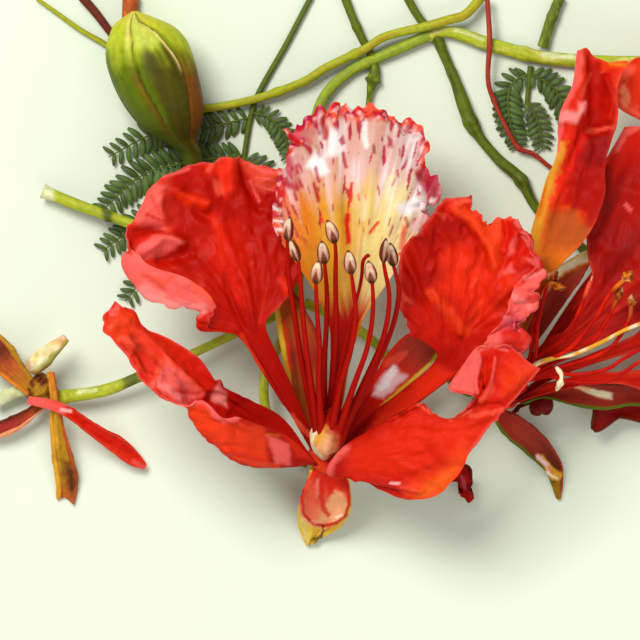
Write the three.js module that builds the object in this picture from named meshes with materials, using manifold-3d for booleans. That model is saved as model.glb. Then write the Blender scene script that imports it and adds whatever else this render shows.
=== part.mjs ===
// A cut flowering sprig of the flame tree, lying on its back: one open bloom in the middle, a second
// bloom to the right, a bud, a withered bloom, their stalks and two feathery leaves.
// Millimetres, +Z up. X runs across the sprig, Y from the lower sepal towards the main stalk, and the
// surface that the sprig lies on is the lowest point of the part. While the pieces are laid out, the
// foot of the main bloom is at X 0, Y 0; the last lines move the group to its own middle.
import * as THREE from "three";
import { mergeVertices } from "three/addons/utils/BufferGeometryUtils.js";
import Module from "manifold-3d";

const wasm = await Module();
wasm.setup();

// Driving dimensions
const clearance = 0.3; // between pieces that touch
const petalThickness = 0.8;
const sepalThickness = 1.1;
const filamentRadius = 0.45;
const filamentFootRadius = 0.62;
const antherLength = 5;
const antherRadius = 1.05;
const stalkRadius = 1.45;
const pedicelRadius = 1.05;
const twigRadius = 0.6;
const leafThickness = 0.5;
const leafLevel = 0.5; // height of a leaf's underside over the lowest point of the layout
const stalkLevel = 1.7; // height of the main stalk's middle line
const nodeLevel = 7; // height of the flowering stalk where the flower stalks leave it

// A bloom's receptacle: a solid cup that petals and stamens stand on and sepals stand round
const receptacleLength = 7;
const receptacleRadius = 4.2;
const receptacleFootRadius = 1.6;
const petalRingRadius = 3.3;
const petalFootWidth = 1.9;
const petalFootHeight = 0.45; // over the rim, so that the foot's corners clear it
const sepalRingRadius = 4.7;
const sepalFootWidth = 3.6;
const sepalFootHeight = -1;
const collarHeight = 4.6;
const collarRadius = 3.9;
const stamenRingRadius = 3.1;
const stamenRise = 0.82; // a stamen's slope at its foot
const stamenDroop = 0.0062; // how fast it flattens

const colours = {
  petal: 0xd8200f,
  standard: 0xf0c7a0,
  sepal: 0x8c2a18,
  calyx: 0x8fa02c,
  stamen: 0xb01310,
  stamenBase: 0xe9dfb4,
  bud: 0x7d8c1e,
  stalk: 0x8fa32a,
  darkStalk: 0x3b4410,
  redStalk: 0x8c3a2c,
  withered: 0xb37a1c,
  cream: 0xe6c98a,
  leaf: 0x2f5224,
};

function material(colour, roughness = 0.55) {
  return new THREE.MeshStandardMaterial({ color: colour, roughness, metalness: 0 });
}

// A smooth open curve through [x, y, z] points
function curveThrough(points) {
  const vectors = points.map((p) => new THREE.Vector3(...p));
  return new THREE.CatmullRomCurve3(vectors, false, "catmullrom", 0.5);
}

function smoothStep(low, high, x) {
  const t = THREE.MathUtils.clamp((x - low) / (high - low), 0, 1);
  return t * t * (3 - 2 * t);
}

// The value at x in -1..1 of a row of evenly spaced numbers, joined by straight lines
function rowValue(row, x) {
  const place = ((x + 1) / 2) * (row.length - 1);
  const i = Math.min(Math.floor(place), row.length - 2);
  return THREE.MathUtils.lerp(row[i], row[i + 1], place - i);
}

// Moves every vertex of a geometry, and keeps only its positions, merged into one closed surface
function bent(geometry, place) {
  const position = geometry.getAttribute("position");
  const from = new THREE.Vector3();
  for (let i = 0; i < position.count; i++) {
    const to = place(from.fromBufferAttribute(position, i));
    position.setXYZ(i, to.x, to.y, to.z);
  }
  geometry.deleteAttribute("normal");
  geometry.deleteAttribute("uv");
  return mergeVertices(geometry, 1e-4);
}

// A petal or sepal: a thin box bent over a surface that is stretched across guide lines. Each guide
// runs from foot to tip, the first along the left margin and the last along the right one. The
// margins may wave up and down, and the tip may reach further in lobes.
function sheet({ guides, thickness, along, across, wave = {}, lobes }) {
  const lines = guides.map(curveThrough);
  const { height = 0, count = 0, start = 0, tipHeight = 0, tipCount = 0 } = wave;
  const step = 0.01;

  function surface(u, v) {
    const row = new THREE.CatmullRomCurve3(lines.map((line) => line.getPoint(u)), false, "catmullrom");
    const point = row.getPoint((v + 1) / 2);
    const margin = v ** 4 * smoothStep(0.3, 0.6, u);
    const tip = smoothStep(0.65, 1, u);
    point.z += height * margin * Math.sin(2 * Math.PI * count * u + start + v);
    point.z += tipHeight * tip * Math.sin(Math.PI * tipCount * v + start);
    if (lobes) {
      const outward = lines[Math.floor(lines.length / 2)].getTangent(u);
      point.addScaledVector(outward, rowValue(lobes, v) * smoothStep(0.8, 1, u));
    }
    return point;
  }

  function between(low, high, pick) {
    return pick(high).sub(pick(low));
  }

  return bent(new THREE.BoxGeometry(2, 1, 1, across, along, 1), (p) => {
    const u = p.y + 0.5;
    const v = p.x;
    const acrossWay = between(Math.max(v - step, -1), Math.min(v + step, 1), (x) => surface(u, x));
    const alongWay = between(Math.max(u - step, 0), Math.min(u + step, 1), (x) => surface(x, v));
    const normal = acrossWay.cross(alongWay).normalize();
    return surface(u, v).addScaledVector(normal, p.z * thickness);
  });
}

// A round body along a curve. Each ring is [part of the length, radius]; ridges cut shallow seams
// along it, and up is a direction that the curve never follows.
function tube({ path, rings, sides = 6, up = [0, 0, 1], ridges = 0, seamDepth = 0 }) {
  const curve = curveThrough(path);
  const upward = new THREE.Vector3(...up);
  return bent(new THREE.CylinderGeometry(1, 1, 1, sides, rings.length - 1), (p) => {
    const [u, radius] = rings[Math.round((p.y + 0.5) * (rings.length - 1))];
    const forward = curve.getTangentAt(u);
    const side = upward.clone().cross(forward).normalize();
    const lift = forward.clone().cross(side);
    const turn = Math.atan2(p.z, p.x);
    const seam = 1 - seamDepth * Math.abs(Math.cos((ridges * turn) / 2)) ** 6;
    return curve
      .getPointAt(u)
      .addScaledVector(side, radius * seam * p.x)
      .addScaledVector(lift, -radius * seam * p.z);
  });
}

// Evenly spaced rings whose radius runs through the given values
function evenRings(count, radii) {
  return Array.from({ length: count + 1 }, (_, i) => [i / count, rowValue(radii, (2 * i) / count - 1)]);
}

function solidOf(geometry) {
  return new wasm.Manifold(
    new wasm.Mesh({
      numProp: 3,
      vertProperties: geometry.getAttribute("position").array,
      triVerts: new Uint32Array(geometry.index.array),
    }),
  );
}

// Joins overlapping geometries into one solid
function joined(geometries) {
  const mesh = geometries.map(solidOf).reduce((all, next) => all.add(next)).getMesh();
  return new THREE.BufferGeometry()
    .setAttribute("position", new THREE.BufferAttribute(mesh.vertProperties, 3))
    .setIndex(new THREE.BufferAttribute(mesh.triVerts, 1));
}

function piece(name, geometry, colour, roughness) {
  const mesh = new THREE.Mesh(geometry, material(colour, roughness));
  mesh.name = name;
  return mesh;
}

// Where a bloom stands: the middle of its receptacle's rim, and the axis that the rim faces along
function bloomFrame(rim, axis) {
  const forward = new THREE.Vector3(...axis).normalize();
  const right = new THREE.Vector3(1, 0, 0);
  right.addScaledVector(forward, -right.dot(forward)).normalize();
  return { rim: new THREE.Vector3(...rim), axis: forward, right, up: forward.clone().cross(right) };
}
const mainFrame = bloomFrame([0.5, 0.6, 15.5], [0, 0.6, 0.8]);
const sideFrame = bloomFrame([36, 13.8, 12.5], [0.6, 0.3, 0.742]);

// A point at an angle round a bloom's axis, shifted sideways along the ring by shift
function ringPoint({ rim, axis, right, up }, angle, radius, height, shift = 0) {
  const turn = THREE.MathUtils.degToRad(angle);
  return rim
    .clone()
    .addScaledVector(axis, height)
    .addScaledVector(right, radius * Math.cos(turn) - shift * Math.sin(turn))
    .addScaledVector(up, radius * Math.sin(turn) + shift * Math.cos(turn));
}

// Guides that start at a foot on the ring, spread over its width so that they don't cross
function fromFoot(frame, guides, angle, { radius, height, width }) {
  const foot = (shift) => ringPoint(frame, angle, radius, height, shift);
  const margins = [guides[0], guides.at(-1)].map(([start]) => new THREE.Vector3(...start));
  const across = margins[1].sub(margins[0]);
  const way = Math.sign(across.dot(foot(-1).sub(foot(1))));
  return guides.map((points, i) => {
    const shift = way * width * (0.5 - i / (guides.length - 1));
    return [foot(shift).toArray(), ...points];
  });
}

// A solid turned round a bloom's axis from [radius, height over the rim] points
function turned(name, frame, profile, colour) {
  const points = profile.map(([radius, height]) => new THREE.Vector2(radius, height));
  const body = piece(name, new THREE.LatheGeometry(points, 12), colour);
  body.position.copy(frame.rim);
  body.quaternion.setFromUnitVectors(new THREE.Vector3(0, 1, 0), frame.axis);
  return body;
}

function receptacle(name, frame) {
  const profile = [
    [0, -receptacleLength],
    [receptacleFootRadius, -receptacleLength],
    [receptacleFootRadius * 1.25, -receptacleLength * 0.8],
    [receptacleRadius * 0.8, -receptacleLength * 0.35],
    [receptacleRadius, -receptacleLength * 0.08],
    [receptacleRadius * 0.94, 0],
    [0, 0],
  ];
  return turned(name, frame, profile, colours.calyx);
}

// A bloom's petals and sepals, each from its foot on the receptacle
function petalsAndSepals(prefix, frame, petals, sepals, { along, across }) {
  const petalFoot = { radius: petalRingRadius, height: petalFootHeight, width: petalFootWidth };
  const sepalFoot = { radius: sepalRingRadius, height: sepalFootHeight, width: sepalFootWidth };
  const petalPieces = Object.entries(petals).map(([name, petal]) => {
    const guides = fromFoot(frame, petal.guides, petal.foot, petalFoot);
    const geometry = sheet({ ...petal, guides, thickness: petalThickness, along, across });
    return piece(prefix + name, geometry, petal.colour ?? colours.petal, 0.5);
  });
  const sepalPieces = Object.entries(sepals).map(([name, sepal]) => {
    const guides = fromFoot(frame, sepal.guides, sepal.foot, sepalFoot);
    const geometry = sheet({ guides, thickness: sepalThickness, along: 7, across: 4 });
    return piece(prefix + name, geometry, colours.sepal);
  });
  return [receptacle(prefix + "receptacle", frame), ...petalPieces, ...sepalPieces];
}

// Petals of the main bloom. Each guide lists its points from the claw's foot to the tip.
const mainPetals = {
  standard: {
    foot: 90,
    guides: [
      [[0.2, 10, 17.2], [1, 20, 22.6], [0.6, 27, 26.5], [-2.2, 33.5, 28.5],
        [-8, 41, 29.5], [-11.5, 48, 28.5], [-9.3, 56, 26.5], [-7.5, 64.3, 23.5]],
      [[1.8, 10, 16.8], [2.9, 20, 21.6], [4, 27, 25], [5, 33.5, 27.5],
        [5.2, 42, 29.5], [5.4, 51, 29], [5.2, 60, 26.5], [4.5, 70, 22]],
      [[3.2, 10, 17.2], [4.8, 20, 22.6], [7.4, 27, 26.5], [12.4, 35, 28],
        [17.5, 43.5, 28.5], [23, 52.5, 28], [20.5, 61, 26], [17.8, 67.6, 23.5]],
    ],
    wave: { height: 0.9, count: 4, tipHeight: 0.7, tipCount: 4 },
    colour: colours.standard,
  },
  wing_left: {
    foot: 153,
    guides: [
      [[-7.3, 9, 19.5], [-12.2, 17.5, 23.5], [-17.5, 25, 26], [-26.5, 28.2, 29],
        [-35.5, 32, 31], [-39.8, 42, 30], [-36.8, 51.5, 27.5], [-29.5, 57.3, 24.5]],
      [[-6, 9, 19], [-10.5, 17.5, 22.8], [-14.8, 25, 25.2], [-17.5, 31.5, 26],
        [-20, 38, 26], [-21.5, 45, 25.5], [-21.8, 52.5, 25], [-21.2, 60, 24]],
      [[-4.6, 9, 19.3], [-8.4, 17.5, 23], [-12, 25.5, 25], [-9.5, 30.5, 24.5],
        [-5, 37, 23.6], [-4.5, 45, 22.6], [-8, 53, 22], [-14.5, 59.2, 22.2]],
    ],
    wave: { height: 1.1, count: 3, start: 1, tipHeight: 0.8, tipCount: 2.5 },
    lobes: [0.4, -0.6, 0, 0.2, 0.2],
    colour: colours.petal,
  },
  wing_right: {
    foot: 18,
    guides: [
      [[9, 8.6, 18.8], [15.5, 14, 22.2], [21, 19.6, 25.5], [16.5, 26.5, 29],
        [14.3, 35, 31.5], [16, 43.5, 32.5], [20.5, 48.8, 32.5], [25, 51.5, 31.5]],
      [[11, 8, 18.6], [18, 13.7, 22], [24, 19, 25], [27, 25.5, 28],
        [28.5, 33, 30], [29, 40, 31], [30, 44.5, 31], [32, 47.6, 30.5]],
      [[13, 7.2, 18.8], [20.5, 13, 22.2], [27, 17, 25.5], [34, 19.5, 28.5],
        [40, 22.5, 31], [42, 31, 32], [43.8, 37.8, 32], [39.6, 46.5, 31]],
    ],
    wave: { height: 1.2, count: 3.5, start: 2, tipHeight: 0.7, tipCount: 3 },
    lobes: [0, 1.6, -0.3, 2, 0.4],
    colour: colours.petal,
  },
  keel_left: {
    foot: 216,
    guides: [
      [[-8, 4.5, 25], [-14, 6.6, 29], [-20, 7.6, 32], [-25, 11.3, 33.5],
        [-31, 10.5, 33.5], [-37, 16.3, 33], [-40, 21.8, 32.5], [-44.5, 25.8, 31.5]],
      [[-8, -1.6, 21], [-14, -1.5, 23.5], [-20.5, 0.6, 27], [-26.3, 7, 30.5],
        [-31.5, 13.5, 30.5], [-36.5, 18.8, 30.5], [-40.2, 23.8, 30.5], [-44.2, 27.4, 30.5]],
      [[-8.2, 2, 17.5], [-14.2, 4, 19], [-21, 8, 21.8], [-25.8, 13.5, 24.5],
        [-31.5, 19, 26.5], [-36, 22.8, 27.5], [-39.5, 26.2, 28.2], [-43.2, 29.2, 29.4]],
      [[-8.6, 7.8, 17.6], [-15, 11.4, 20], [-20.3, 14.2, 23], [-25.5, 19, 25],
        [-31, 23.7, 25.6], [-36, 25.9, 26.2], [-38.8, 29.3, 26.5], [-41.7, 31.2, 28.2]],
    ],
    wave: { height: 0.7, count: 4, start: 1, tipHeight: 0.5, tipCount: 2 },
    colour: colours.petal,
  },
  keel_right: {
    foot: 304,
    guides: [
      [[5.5, -4.6, 20.5], [12, -6.8, 23.5], [19, -8.6, 25.5], [26.3, -4, 28.5],
        [31, 4, 31.5], [36, 10, 34], [39.8, 14.2, 35.5], [42.4, 17.4, 36]],
      [[5.6, -0.8, 21.5], [12, 0, 25], [19, 0.5, 27.5], [25.5, 2.5, 30.5],
        [30, 8, 32.5], [32, 13, 34], [36, 17.5, 35], [40.3, 19.5, 35.5]],
      [[5.6, 3.5, 21.5], [12, 6.9, 24.5], [18.5, 10.4, 27], [25, 7.6, 30.5],
        [28.8, 11, 33], [25.2, 14.8, 33.5], [29.8, 22.8, 33.5], [37, 21.5, 34.5]],
    ],
    wave: { height: 0.6, count: 4, start: 0.5, tipHeight: 0.5, tipCount: 2 },
    colour: colours.petal,
  },
};

// Sepals of the main bloom, bent back under the petals
const mainSepals = {
  sepal_lower: {
    foot: 270,
    guides: [
      [[-4.6, -7, 14.6], [-5.2, -10.5, 10.8], [-4.9, -13.5, 6.4], [-4.4, -16, 2.8], [-3.8, -17.8, 0.5]],
      [[0, -7.4, 13.6], [0, -10.8, 9.4], [-0.8, -13.6, 5.2], [-2.3, -15.9, 2.3], [-3.4, -17.6, 0.4]],
      [[4.7, -7, 14.6], [4.9, -10, 10.8], [3.2, -13.2, 6.6], [-0.5, -15.8, 2.9], [-3, -17.3, 0.5]],
    ],
  },
  sepal_upper_left: {
    foot: 119,
    guides: [
      [[-6.2, 9, 13.6], [-8, 17, 16.4], [-9.3, 24, 18.5], [-9.8, 30, 18.5], [-9, 34.5, 17.5]],
      [[-3.9, 9, 12.7], [-4.2, 17, 15.4], [-5, 23.5, 17.4], [-6.8, 30, 17.6], [-8.4, 35.5, 17]],
      [[-1.6, 9, 13.6], [-0.4, 17, 16.4], [-1.2, 23, 18.5], [-4.2, 29.5, 18.5], [-7.6, 34.8, 17.5]],
    ],
  },
  sepal_upper_right: {
    foot: 61,
    guides: [
      [[4.6, 8.4, 13.4], [8.5, 14, 15.6], [12, 20, 17.3], [16.5, 24.6, 18], [22.5, 26, 17.5]],
      [[6.4, 7.4, 12.8], [10.6, 12.9, 14.8], [15, 18, 16.4], [19.6, 22.6, 17.2], [24.2, 25.8, 17]],
      [[8.2, 6.6, 13.6], [13, 11.3, 15.6], [17.8, 15.6, 17.3], [22, 20, 18], [24.8, 24.2, 17.5]],
    ],
  },
  sepal_lower_left: {
    foot: 186,
    guides: [
      [[-8, -1.2, 13.6], [-13, 0.2, 12.6], [-18, 1.6, 10.6], [-22, 3.4, 8.6], [-25.4, 6.2, 6.6]],
      [[-8.4, 1.2, 12.8], [-13.4, 3.2, 11.6], [-18.4, 4.7, 9.6], [-22.4, 5.8, 7.6], [-25.6, 7, 6.2]],
      [[-8.6, 3.6, 13.4], [-13.6, 6.2, 12.4], [-18.6, 7.8, 10.4], [-22.6, 8.2, 8.4], [-25.4, 7.8, 6.6]],
    ],
  },
  sepal_lower_right: {
    foot: 346,
    guides: [
      [[10, -4.4, 13.6], [16, -4.8, 11.8], [22, -5.4, 9], [25.8, -5.4, 6.4], [27.3, -9, 3.4]],
      [[10.4, -1.6, 12.6], [16.4, -1.8, 10.6], [22.4, -2.8, 7.8], [27, -4.2, 5.4], [28.6, -9.4, 2.6]],
      [[10.6, 1.4, 13.2], [16.6, 1.2, 11.4], [22.6, -0.2, 8.8], [28.8, -2.6, 6.2], [30, -8.6, 3]],
    ],
  },
};

// The run of each stamen of the main bloom, seen from above: the foot's angle round the ring,
// points along the filament, and the tip of the anther. lift keeps crossing filaments apart.
const stamens = [
  { foot: 160, run: [[-4.6, 18], [-6.2, 28], [-7.4, 36], [-7.7, 43.5]], tip: [-7.4, 48], lift: 0 },
  { foot: 196, run: [[-3.2, 16], [-4.4, 26], [-5, 34], [-5.6, 39.5]], tip: [-7.3, 43.8], lift: 2.2 },
  { foot: 232, run: [[-1.4, 15], [-1.3, 22], [-1.7, 28], [-2, 34.6]], tip: [-1.7, 39.5], lift: 1.6 },
  { foot: 124, run: [[-0.4, 18], [0, 25], [0.2, 32], [-0.2, 38]], tip: [-1, 43], lift: -1.6 },
  { foot: 88, run: [[1.5, 16], [2, 25], [1.9, 35], [1.8, 42.8]], tip: [0, 47.3], lift: 0.6 },
  { foot: 268, run: [[2.8, 14], [5, 22], [5.9, 29], [5.1, 36.3]], tip: [4.2, 41.4], lift: 1.6 },
  { foot: 304, run: [[5.4, 14], [8.2, 22], [9.3, 29], [9.2, 34.8]], tip: [8.3, 39.2], lift: 2 },
  { foot: 340, run: [[7.6, 15], [11.4, 24], [12.6, 32], [11.5, 39]], tip: [11.8, 43.8], lift: 0.4 },
  { foot: 16, run: [[8.6, 15.6], [13, 25.4], [14.5, 33], [13.4, 38.8]], tip: [12.9, 43], lift: -1.6 },
];
const pistilRun = { run: [[2.2, 15], [4.6, 26], [6.9, 35], [7.4, 39.4]], tip: [8.6, 40.6], lift: -0.8 };

// A stamen rises steeply from the ring and flattens towards its anther
function stamenHeight(foot, y, lift) {
  const run = Math.max(y - foot.y, 0);
  return foot.z + stamenRise * run - stamenDroop * run * run + lift * smoothStep(0, 12, run);
}

function stamenPath(foot, { run, tip, lift }) {
  const level = (x, y) => [x, y, stamenHeight(foot, y, lift)];
  return [foot.toArray(), ...run.map(([x, y]) => level(x, y)), level(tip[0], tip[1])];
}

function stamen(foot, route) {
  const path = stamenPath(foot, route);
  const length = curveThrough(path).getLength();
  const fromTip = (distance) => 1 - distance / length;
  const rings = [0, 0.12, 0.28, 0.44, 0.58, 0.72]
    .map((u) => [u, THREE.MathUtils.lerp(filamentFootRadius, filamentRadius, u)])
    .concat([
      [fromTip(antherLength + 1), filamentRadius * 0.9],
      [fromTip(antherLength), filamentRadius * 0.8],
      [fromTip(antherLength * 0.8), antherRadius * 0.85],
      [fromTip(antherLength * 0.5), antherRadius],
      [fromTip(antherLength * 0.18), antherRadius * 0.75],
      [1, antherRadius * 0.25],
    ]);
  return tube({ path, rings, sides: 6, up: [1, 0, 0] });
}

function mainBloom() {
  const bloom = new THREE.Group();
  bloom.add(...petalsAndSepals("main_", mainFrame, mainPetals, mainSepals, { along: 13, across: 8 }));
  const collar = [
    [0, clearance],
    [collarRadius * 0.5, clearance],
    [collarRadius * 0.87, collarHeight * 0.6],
    [collarRadius, collarHeight],
    [0, collarHeight],
  ];
  bloom.add(turned("stamen_collar", mainFrame, collar, colours.stamenBase));

  const footHeight = collarHeight + clearance + 0.1;
  stamens.forEach((route, i) => {
    const foot = ringPoint(mainFrame, route.foot, stamenRingRadius, footHeight);
    bloom.add(piece("stamen_" + (i + 1), stamen(foot, route), colours.stamen, 0.4));
  });
  const path = stamenPath(ringPoint(mainFrame, 0, 0, footHeight), pistilRun);
  const pistil = tube({ path, rings: evenRings(9, [0.8, 0.6, 0.4, 0.35]), sides: 5, up: [1, 0, 0] });
  bloom.add(piece("pistil", pistil, colours.stamen, 0.4));
  return bloom;
}

// Petals of the second bloom
const sidePetals = {
  petal_upright: {
    foot: 92,
    guides: [
      [[37.4, 24.5, 16.6], [39.6, 36, 19.3], [41.2, 45, 21], [43.5, 53, 22], [46.3, 62, 22.5],
        [47.2, 70, 22.5], [49.6, 76, 22], [50.2, 82, 20.5]],
      [[38.6, 24.5, 15.8], [42.3, 36, 18.2], [45.5, 44.5, 19.5], [48.5, 52, 20.2], [51.3, 61, 21],
        [52.8, 69.5, 21.5], [54, 76, 21], [55.5, 81, 20]],
      [[39.8, 24.5, 16.2], [45, 36, 19], [50.5, 43, 20.5], [54.5, 50, 20.8], [57, 60, 20.6],
        [58.5, 69, 20.4], [59.6, 75.5, 20], [61, 79.6, 19.5]],
    ],
    wave: { height: 0.8, count: 4, tipHeight: 0.6, tipCount: 3 },
  },
  petal_right: {
    foot: 57,
    guides: [
      [[41.8, 21, 14.6], [45, 24, 15.8], [49, 26.5, 16.4], [53.3, 36, 17], [53.2, 45, 17.2],
        [57.8, 53, 17.2], [58.6, 61, 17], [63, 67, 16.5]],
      [[42.4, 20, 14.2], [46.4, 22.4, 15.2], [52, 25.4, 15.8], [59, 34, 16.2], [62, 43, 16.6],
        [65, 52, 16.8], [67.5, 60, 16.4], [69, 66, 16]],
      [[43, 19, 14.6], [47.6, 20.8, 15.8], [55, 22.8, 16.6], [64.5, 28, 17.6], [71, 37, 18],
        [74.5, 47, 18], [76.5, 56, 17.6], [76, 63, 17]],
    ],
    wave: { height: 0.7, count: 3, start: 1, tipHeight: 0.5, tipCount: 3 },
  },
  petal_upper: {
    foot: 14,
    guides: [
      [[49, 31, 11.8], [60, 46, 12.8], [66.5, 57, 13.4], [64, 66.5, 14.2], [57.5, 71.5, 15.8],
        [57, 75.5, 16.2], [62, 80, 15.8]],
      [[50, 29.8, 11.4], [61.5, 45, 12.4], [68.5, 56, 13], [69.5, 66, 13.8], [68, 73, 14.4],
        [67.5, 77.5, 14.6], [68.5, 82, 14.6]],
      [[51, 28.6, 11.8], [63, 44, 12.8], [70.5, 55, 13.6], [75, 64.5, 14.6], [78, 72, 15.4],
        [77.5, 77.5, 15.6], [75.5, 82, 15.2]],
    ],
    wave: { height: 0.6, count: 3, start: 2, tipHeight: 0.4, tipCount: 3 },
  },
  petal_far: {
    foot: 338,
    guides: [
      [[45, 17.4, 13.8], [53, 20.6, 14.6], [62, 24.8, 14.4], [71, 32, 13.4], [79, 38.5, 11.8],
        [85, 41, 10.5]],
      [[45.2, 16.5, 13.4], [53, 19.6, 14.2], [62.5, 23, 14], [72, 27.5, 13], [80.5, 31, 11.4],
        [87, 32.5, 9.6]],
      [[45.4, 15.6, 13.8], [53.2, 18.6, 14.6], [63, 21.3, 14.4], [72.5, 22.8, 13.2],
        [81, 23.8, 11.2], [87, 24.5, 9]],
    ],
    wave: { height: 0.7, count: 3, tipHeight: 0.6, tipCount: 3 },
  },
  petal_low: {
    foot: 300,
    guides: [
      [[44, 14.5, 15.2], [54, 16.8, 15.6], [63, 17.6, 14.4], [71, 18.6, 12.6], [79, 19.6, 10.2],
        [85, 19.2, 8]],
      [[44, 13.6, 14.8], [54, 15.8, 15.2], [63, 15.5, 14], [71, 14, 12], [79, 12.5, 9.4],
        [86, 11.5, 7]],
      [[44, 12.8, 15.2], [54, 14.8, 15.6], [63, 13.6, 14.4], [71, 8, 12.6], [79, 4, 10],
        [84.5, 3.5, 7.6]],
    ],
    wave: { height: 0.7, count: 3, start: 1, tipHeight: 0.6, tipCount: 3 },
  },
};

const sideSepals = {
  sepal_up: {
    foot: 108,
    guides: [
      [[36.2, 24, 11.6], [41.5, 33, 13], [45.5, 37.3, 14.2], [52.5, 41.4, 14.4]],
      [[39, 23.4, 10.6], [44.8, 31.4, 12], [48.5, 36.5, 13.4], [53, 40.8, 14]],
      [[41.6, 22.6, 11.6], [47.8, 30.8, 13], [51.3, 35.8, 14.2], [53.4, 39.8, 14.4]],
    ],
  },
  sepal_right: {
    foot: 357,
    guides: [
      [[44.6, 14.8, 11], [50, 15.2, 11.5], [56, 14.8, 11.2], [62, 14.3, 10.4], [68, 12.9, 8.8],
        [73, 10.6, 7]],
      [[44.2, 13.2, 10.2], [50, 12.9, 10.6], [56, 12.2, 10.2], [62, 12.4, 9.2], [68, 11.4, 7.6],
        [73.4, 9.7, 6.2]],
      [[44.2, 12, 10.8], [50, 10.4, 11.5], [56, 9.7, 11.2], [62, 10.6, 10.2], [68, 9.9, 8.6],
        [73.2, 8.8, 6.8]],
    ],
  },
  sepal_low: {
    foot: 237,
    guides: [
      [[38, 5.4, 10.6], [43, 3.8, 7.8], [46.6, 0.6, 4.9], [47.9, -2.8, 2.5], [47.3, -7, 0.8]],
      [[36.2, 4.8, 10], [40.8, 2.3, 7], [44.6, -0.8, 4.3], [46.5, -3.6, 2.1], [46.9, -7.2, 0.7]],
      [[34.6, 4.4, 10.6], [38.6, 1.2, 7.7], [42.8, -1.6, 4.9], [45.2, -4.3, 2.5], [46.4, -7, 0.8]],
    ],
  },
  sepal_maroon: {
    foot: 303,
    guides: [
      [[44.6, 11.6, 7.2], [50, 12.2, 7.2], [55.5, 10.2, 6.6], [61, 11, 5.6], [67, 10, 4.2],
        [72, 7.5, 3]],
      [[44.2, 9.8, 6.8], [50, 11, 6.8], [55, 7.4, 6.2], [61, 7.8, 5.2], [67, 7, 3.8], [72.5, 6, 2.6]],
      [[44, 8.8, 7], [50, 9.8, 7.2], [54, 4.5, 6.4], [61, 4.6, 5.6], [67, 4, 4], [72, 4.6, 2.8]],
    ],
  },
  sepal_left: {
    foot: 176,
    guides: [
      [[28.6, 12.4, 13.6], [24.6, 15, 12.4], [22, 19.4, 10.8], [22.4, 25, 9]],
      [[29, 15, 12.8], [25.8, 17.8, 11.6], [23.8, 21.6, 10], [23, 25.8, 8.6]],
      [[30, 17.6, 13.4], [27.6, 20.6, 12.2], [25.8, 23.8, 10.4], [23.8, 26.2, 9]],
    ],
  },
};

// Shrivelled filaments of the second bloom: points from the collar outwards
const sideFilaments = [
  [[41, 20, 17.5], [41.8, 28, 20], [43.6, 34.6, 20.5], [45.6, 36.4, 20.5]],
  [[41.8, 19.4, 18], [42.6, 27, 21], [44.6, 34.6, 21.6], [46.8, 34.2, 21.2]],
  [[43, 20.4, 18], [48, 24, 20.5], [50.6, 29, 22], [53, 35.2, 23]],
  [[43.6, 19, 19], [49, 22, 22.5], [54, 28, 24.4], [57, 33, 25], [60.6, 36.4, 25]],
  [[45, 18.6, 18.5], [52, 22, 21], [56, 27, 22.4], [58.8, 33, 23.4]],
  [[45, 19.2, 17.5], [50, 20.6, 19], [55, 22.6, 20], [60, 25, 21], [66, 27.6, 21.4]],
  [[45, 17.6, 18], [52, 19.6, 20], [57, 22, 21.4], [60.6, 27, 22], [61.4, 31.6, 22]],
  [[44.8, 17, 17.6], [50, 16.6, 19.4], [56, 17.6, 20.4], [60, 20, 21], [67, 24, 21.4]],
  [[44.6, 16.4, 17.2], [48, 15.4, 18.6], [54, 15, 19.4], [58, 16, 20], [66, 21.4, 20.6]],
];

function sideBloom() {
  const bloom = new THREE.Group();
  bloom.add(...petalsAndSepals("side_", sideFrame, sidePetals, sideSepals, { along: 10, across: 6 }));
  const collarPoint = (height) => ringPoint(sideFrame, 0, 0, height).toArray();
  const collar = tube({
    path: [clearance, collarHeight * 0.5, collarHeight].map(collarPoint),
    rings: [[0, collarRadius * 0.4], [0.6, collarRadius * 0.6], [1, collarRadius * 0.6]],
    sides: 8,
    up: [0, 1, 0],
  });
  const filaments = sideFilaments.map((points) =>
    tube({
      path: [collarPoint(collarHeight * 0.7), ...points],
      rings: evenRings(7, [0.6, filamentRadius, filamentRadius, 0.6]),
      sides: 4,
      up: [-0.6, 0.8, 0],
    }),
  );
  bloom.add(piece("side_stamens", joined([collar, ...filaments]), colours.stamen, 0.4));
  return bloom;
}

// Bud: five valves that meet in seams, swelling from a neck to the widest part and closing at the tip
const budLine = [
  [-26.4, 59, 8.6], [-28, 62, 9], [-30.3, 65.5, 9.8], [-32.6, 70, 10.4], [-34.6, 75, 10.8],
  [-36, 80, 10.8], [-37.6, 84.5, 10.4], [-39.3, 88.8, 9.8],
];
const budRadii = [1.7, 2.3, 4.6, 6.8, 8, 8.1, 6.8, 4.2, 0.8];

function bud() {
  return piece(
    "bud",
    tube({ path: budLine, rings: evenRings(14, budRadii), sides: 20, ridges: 5, seamDepth: 0.05 }),
    colours.bud,
    0.4,
  );
}

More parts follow.
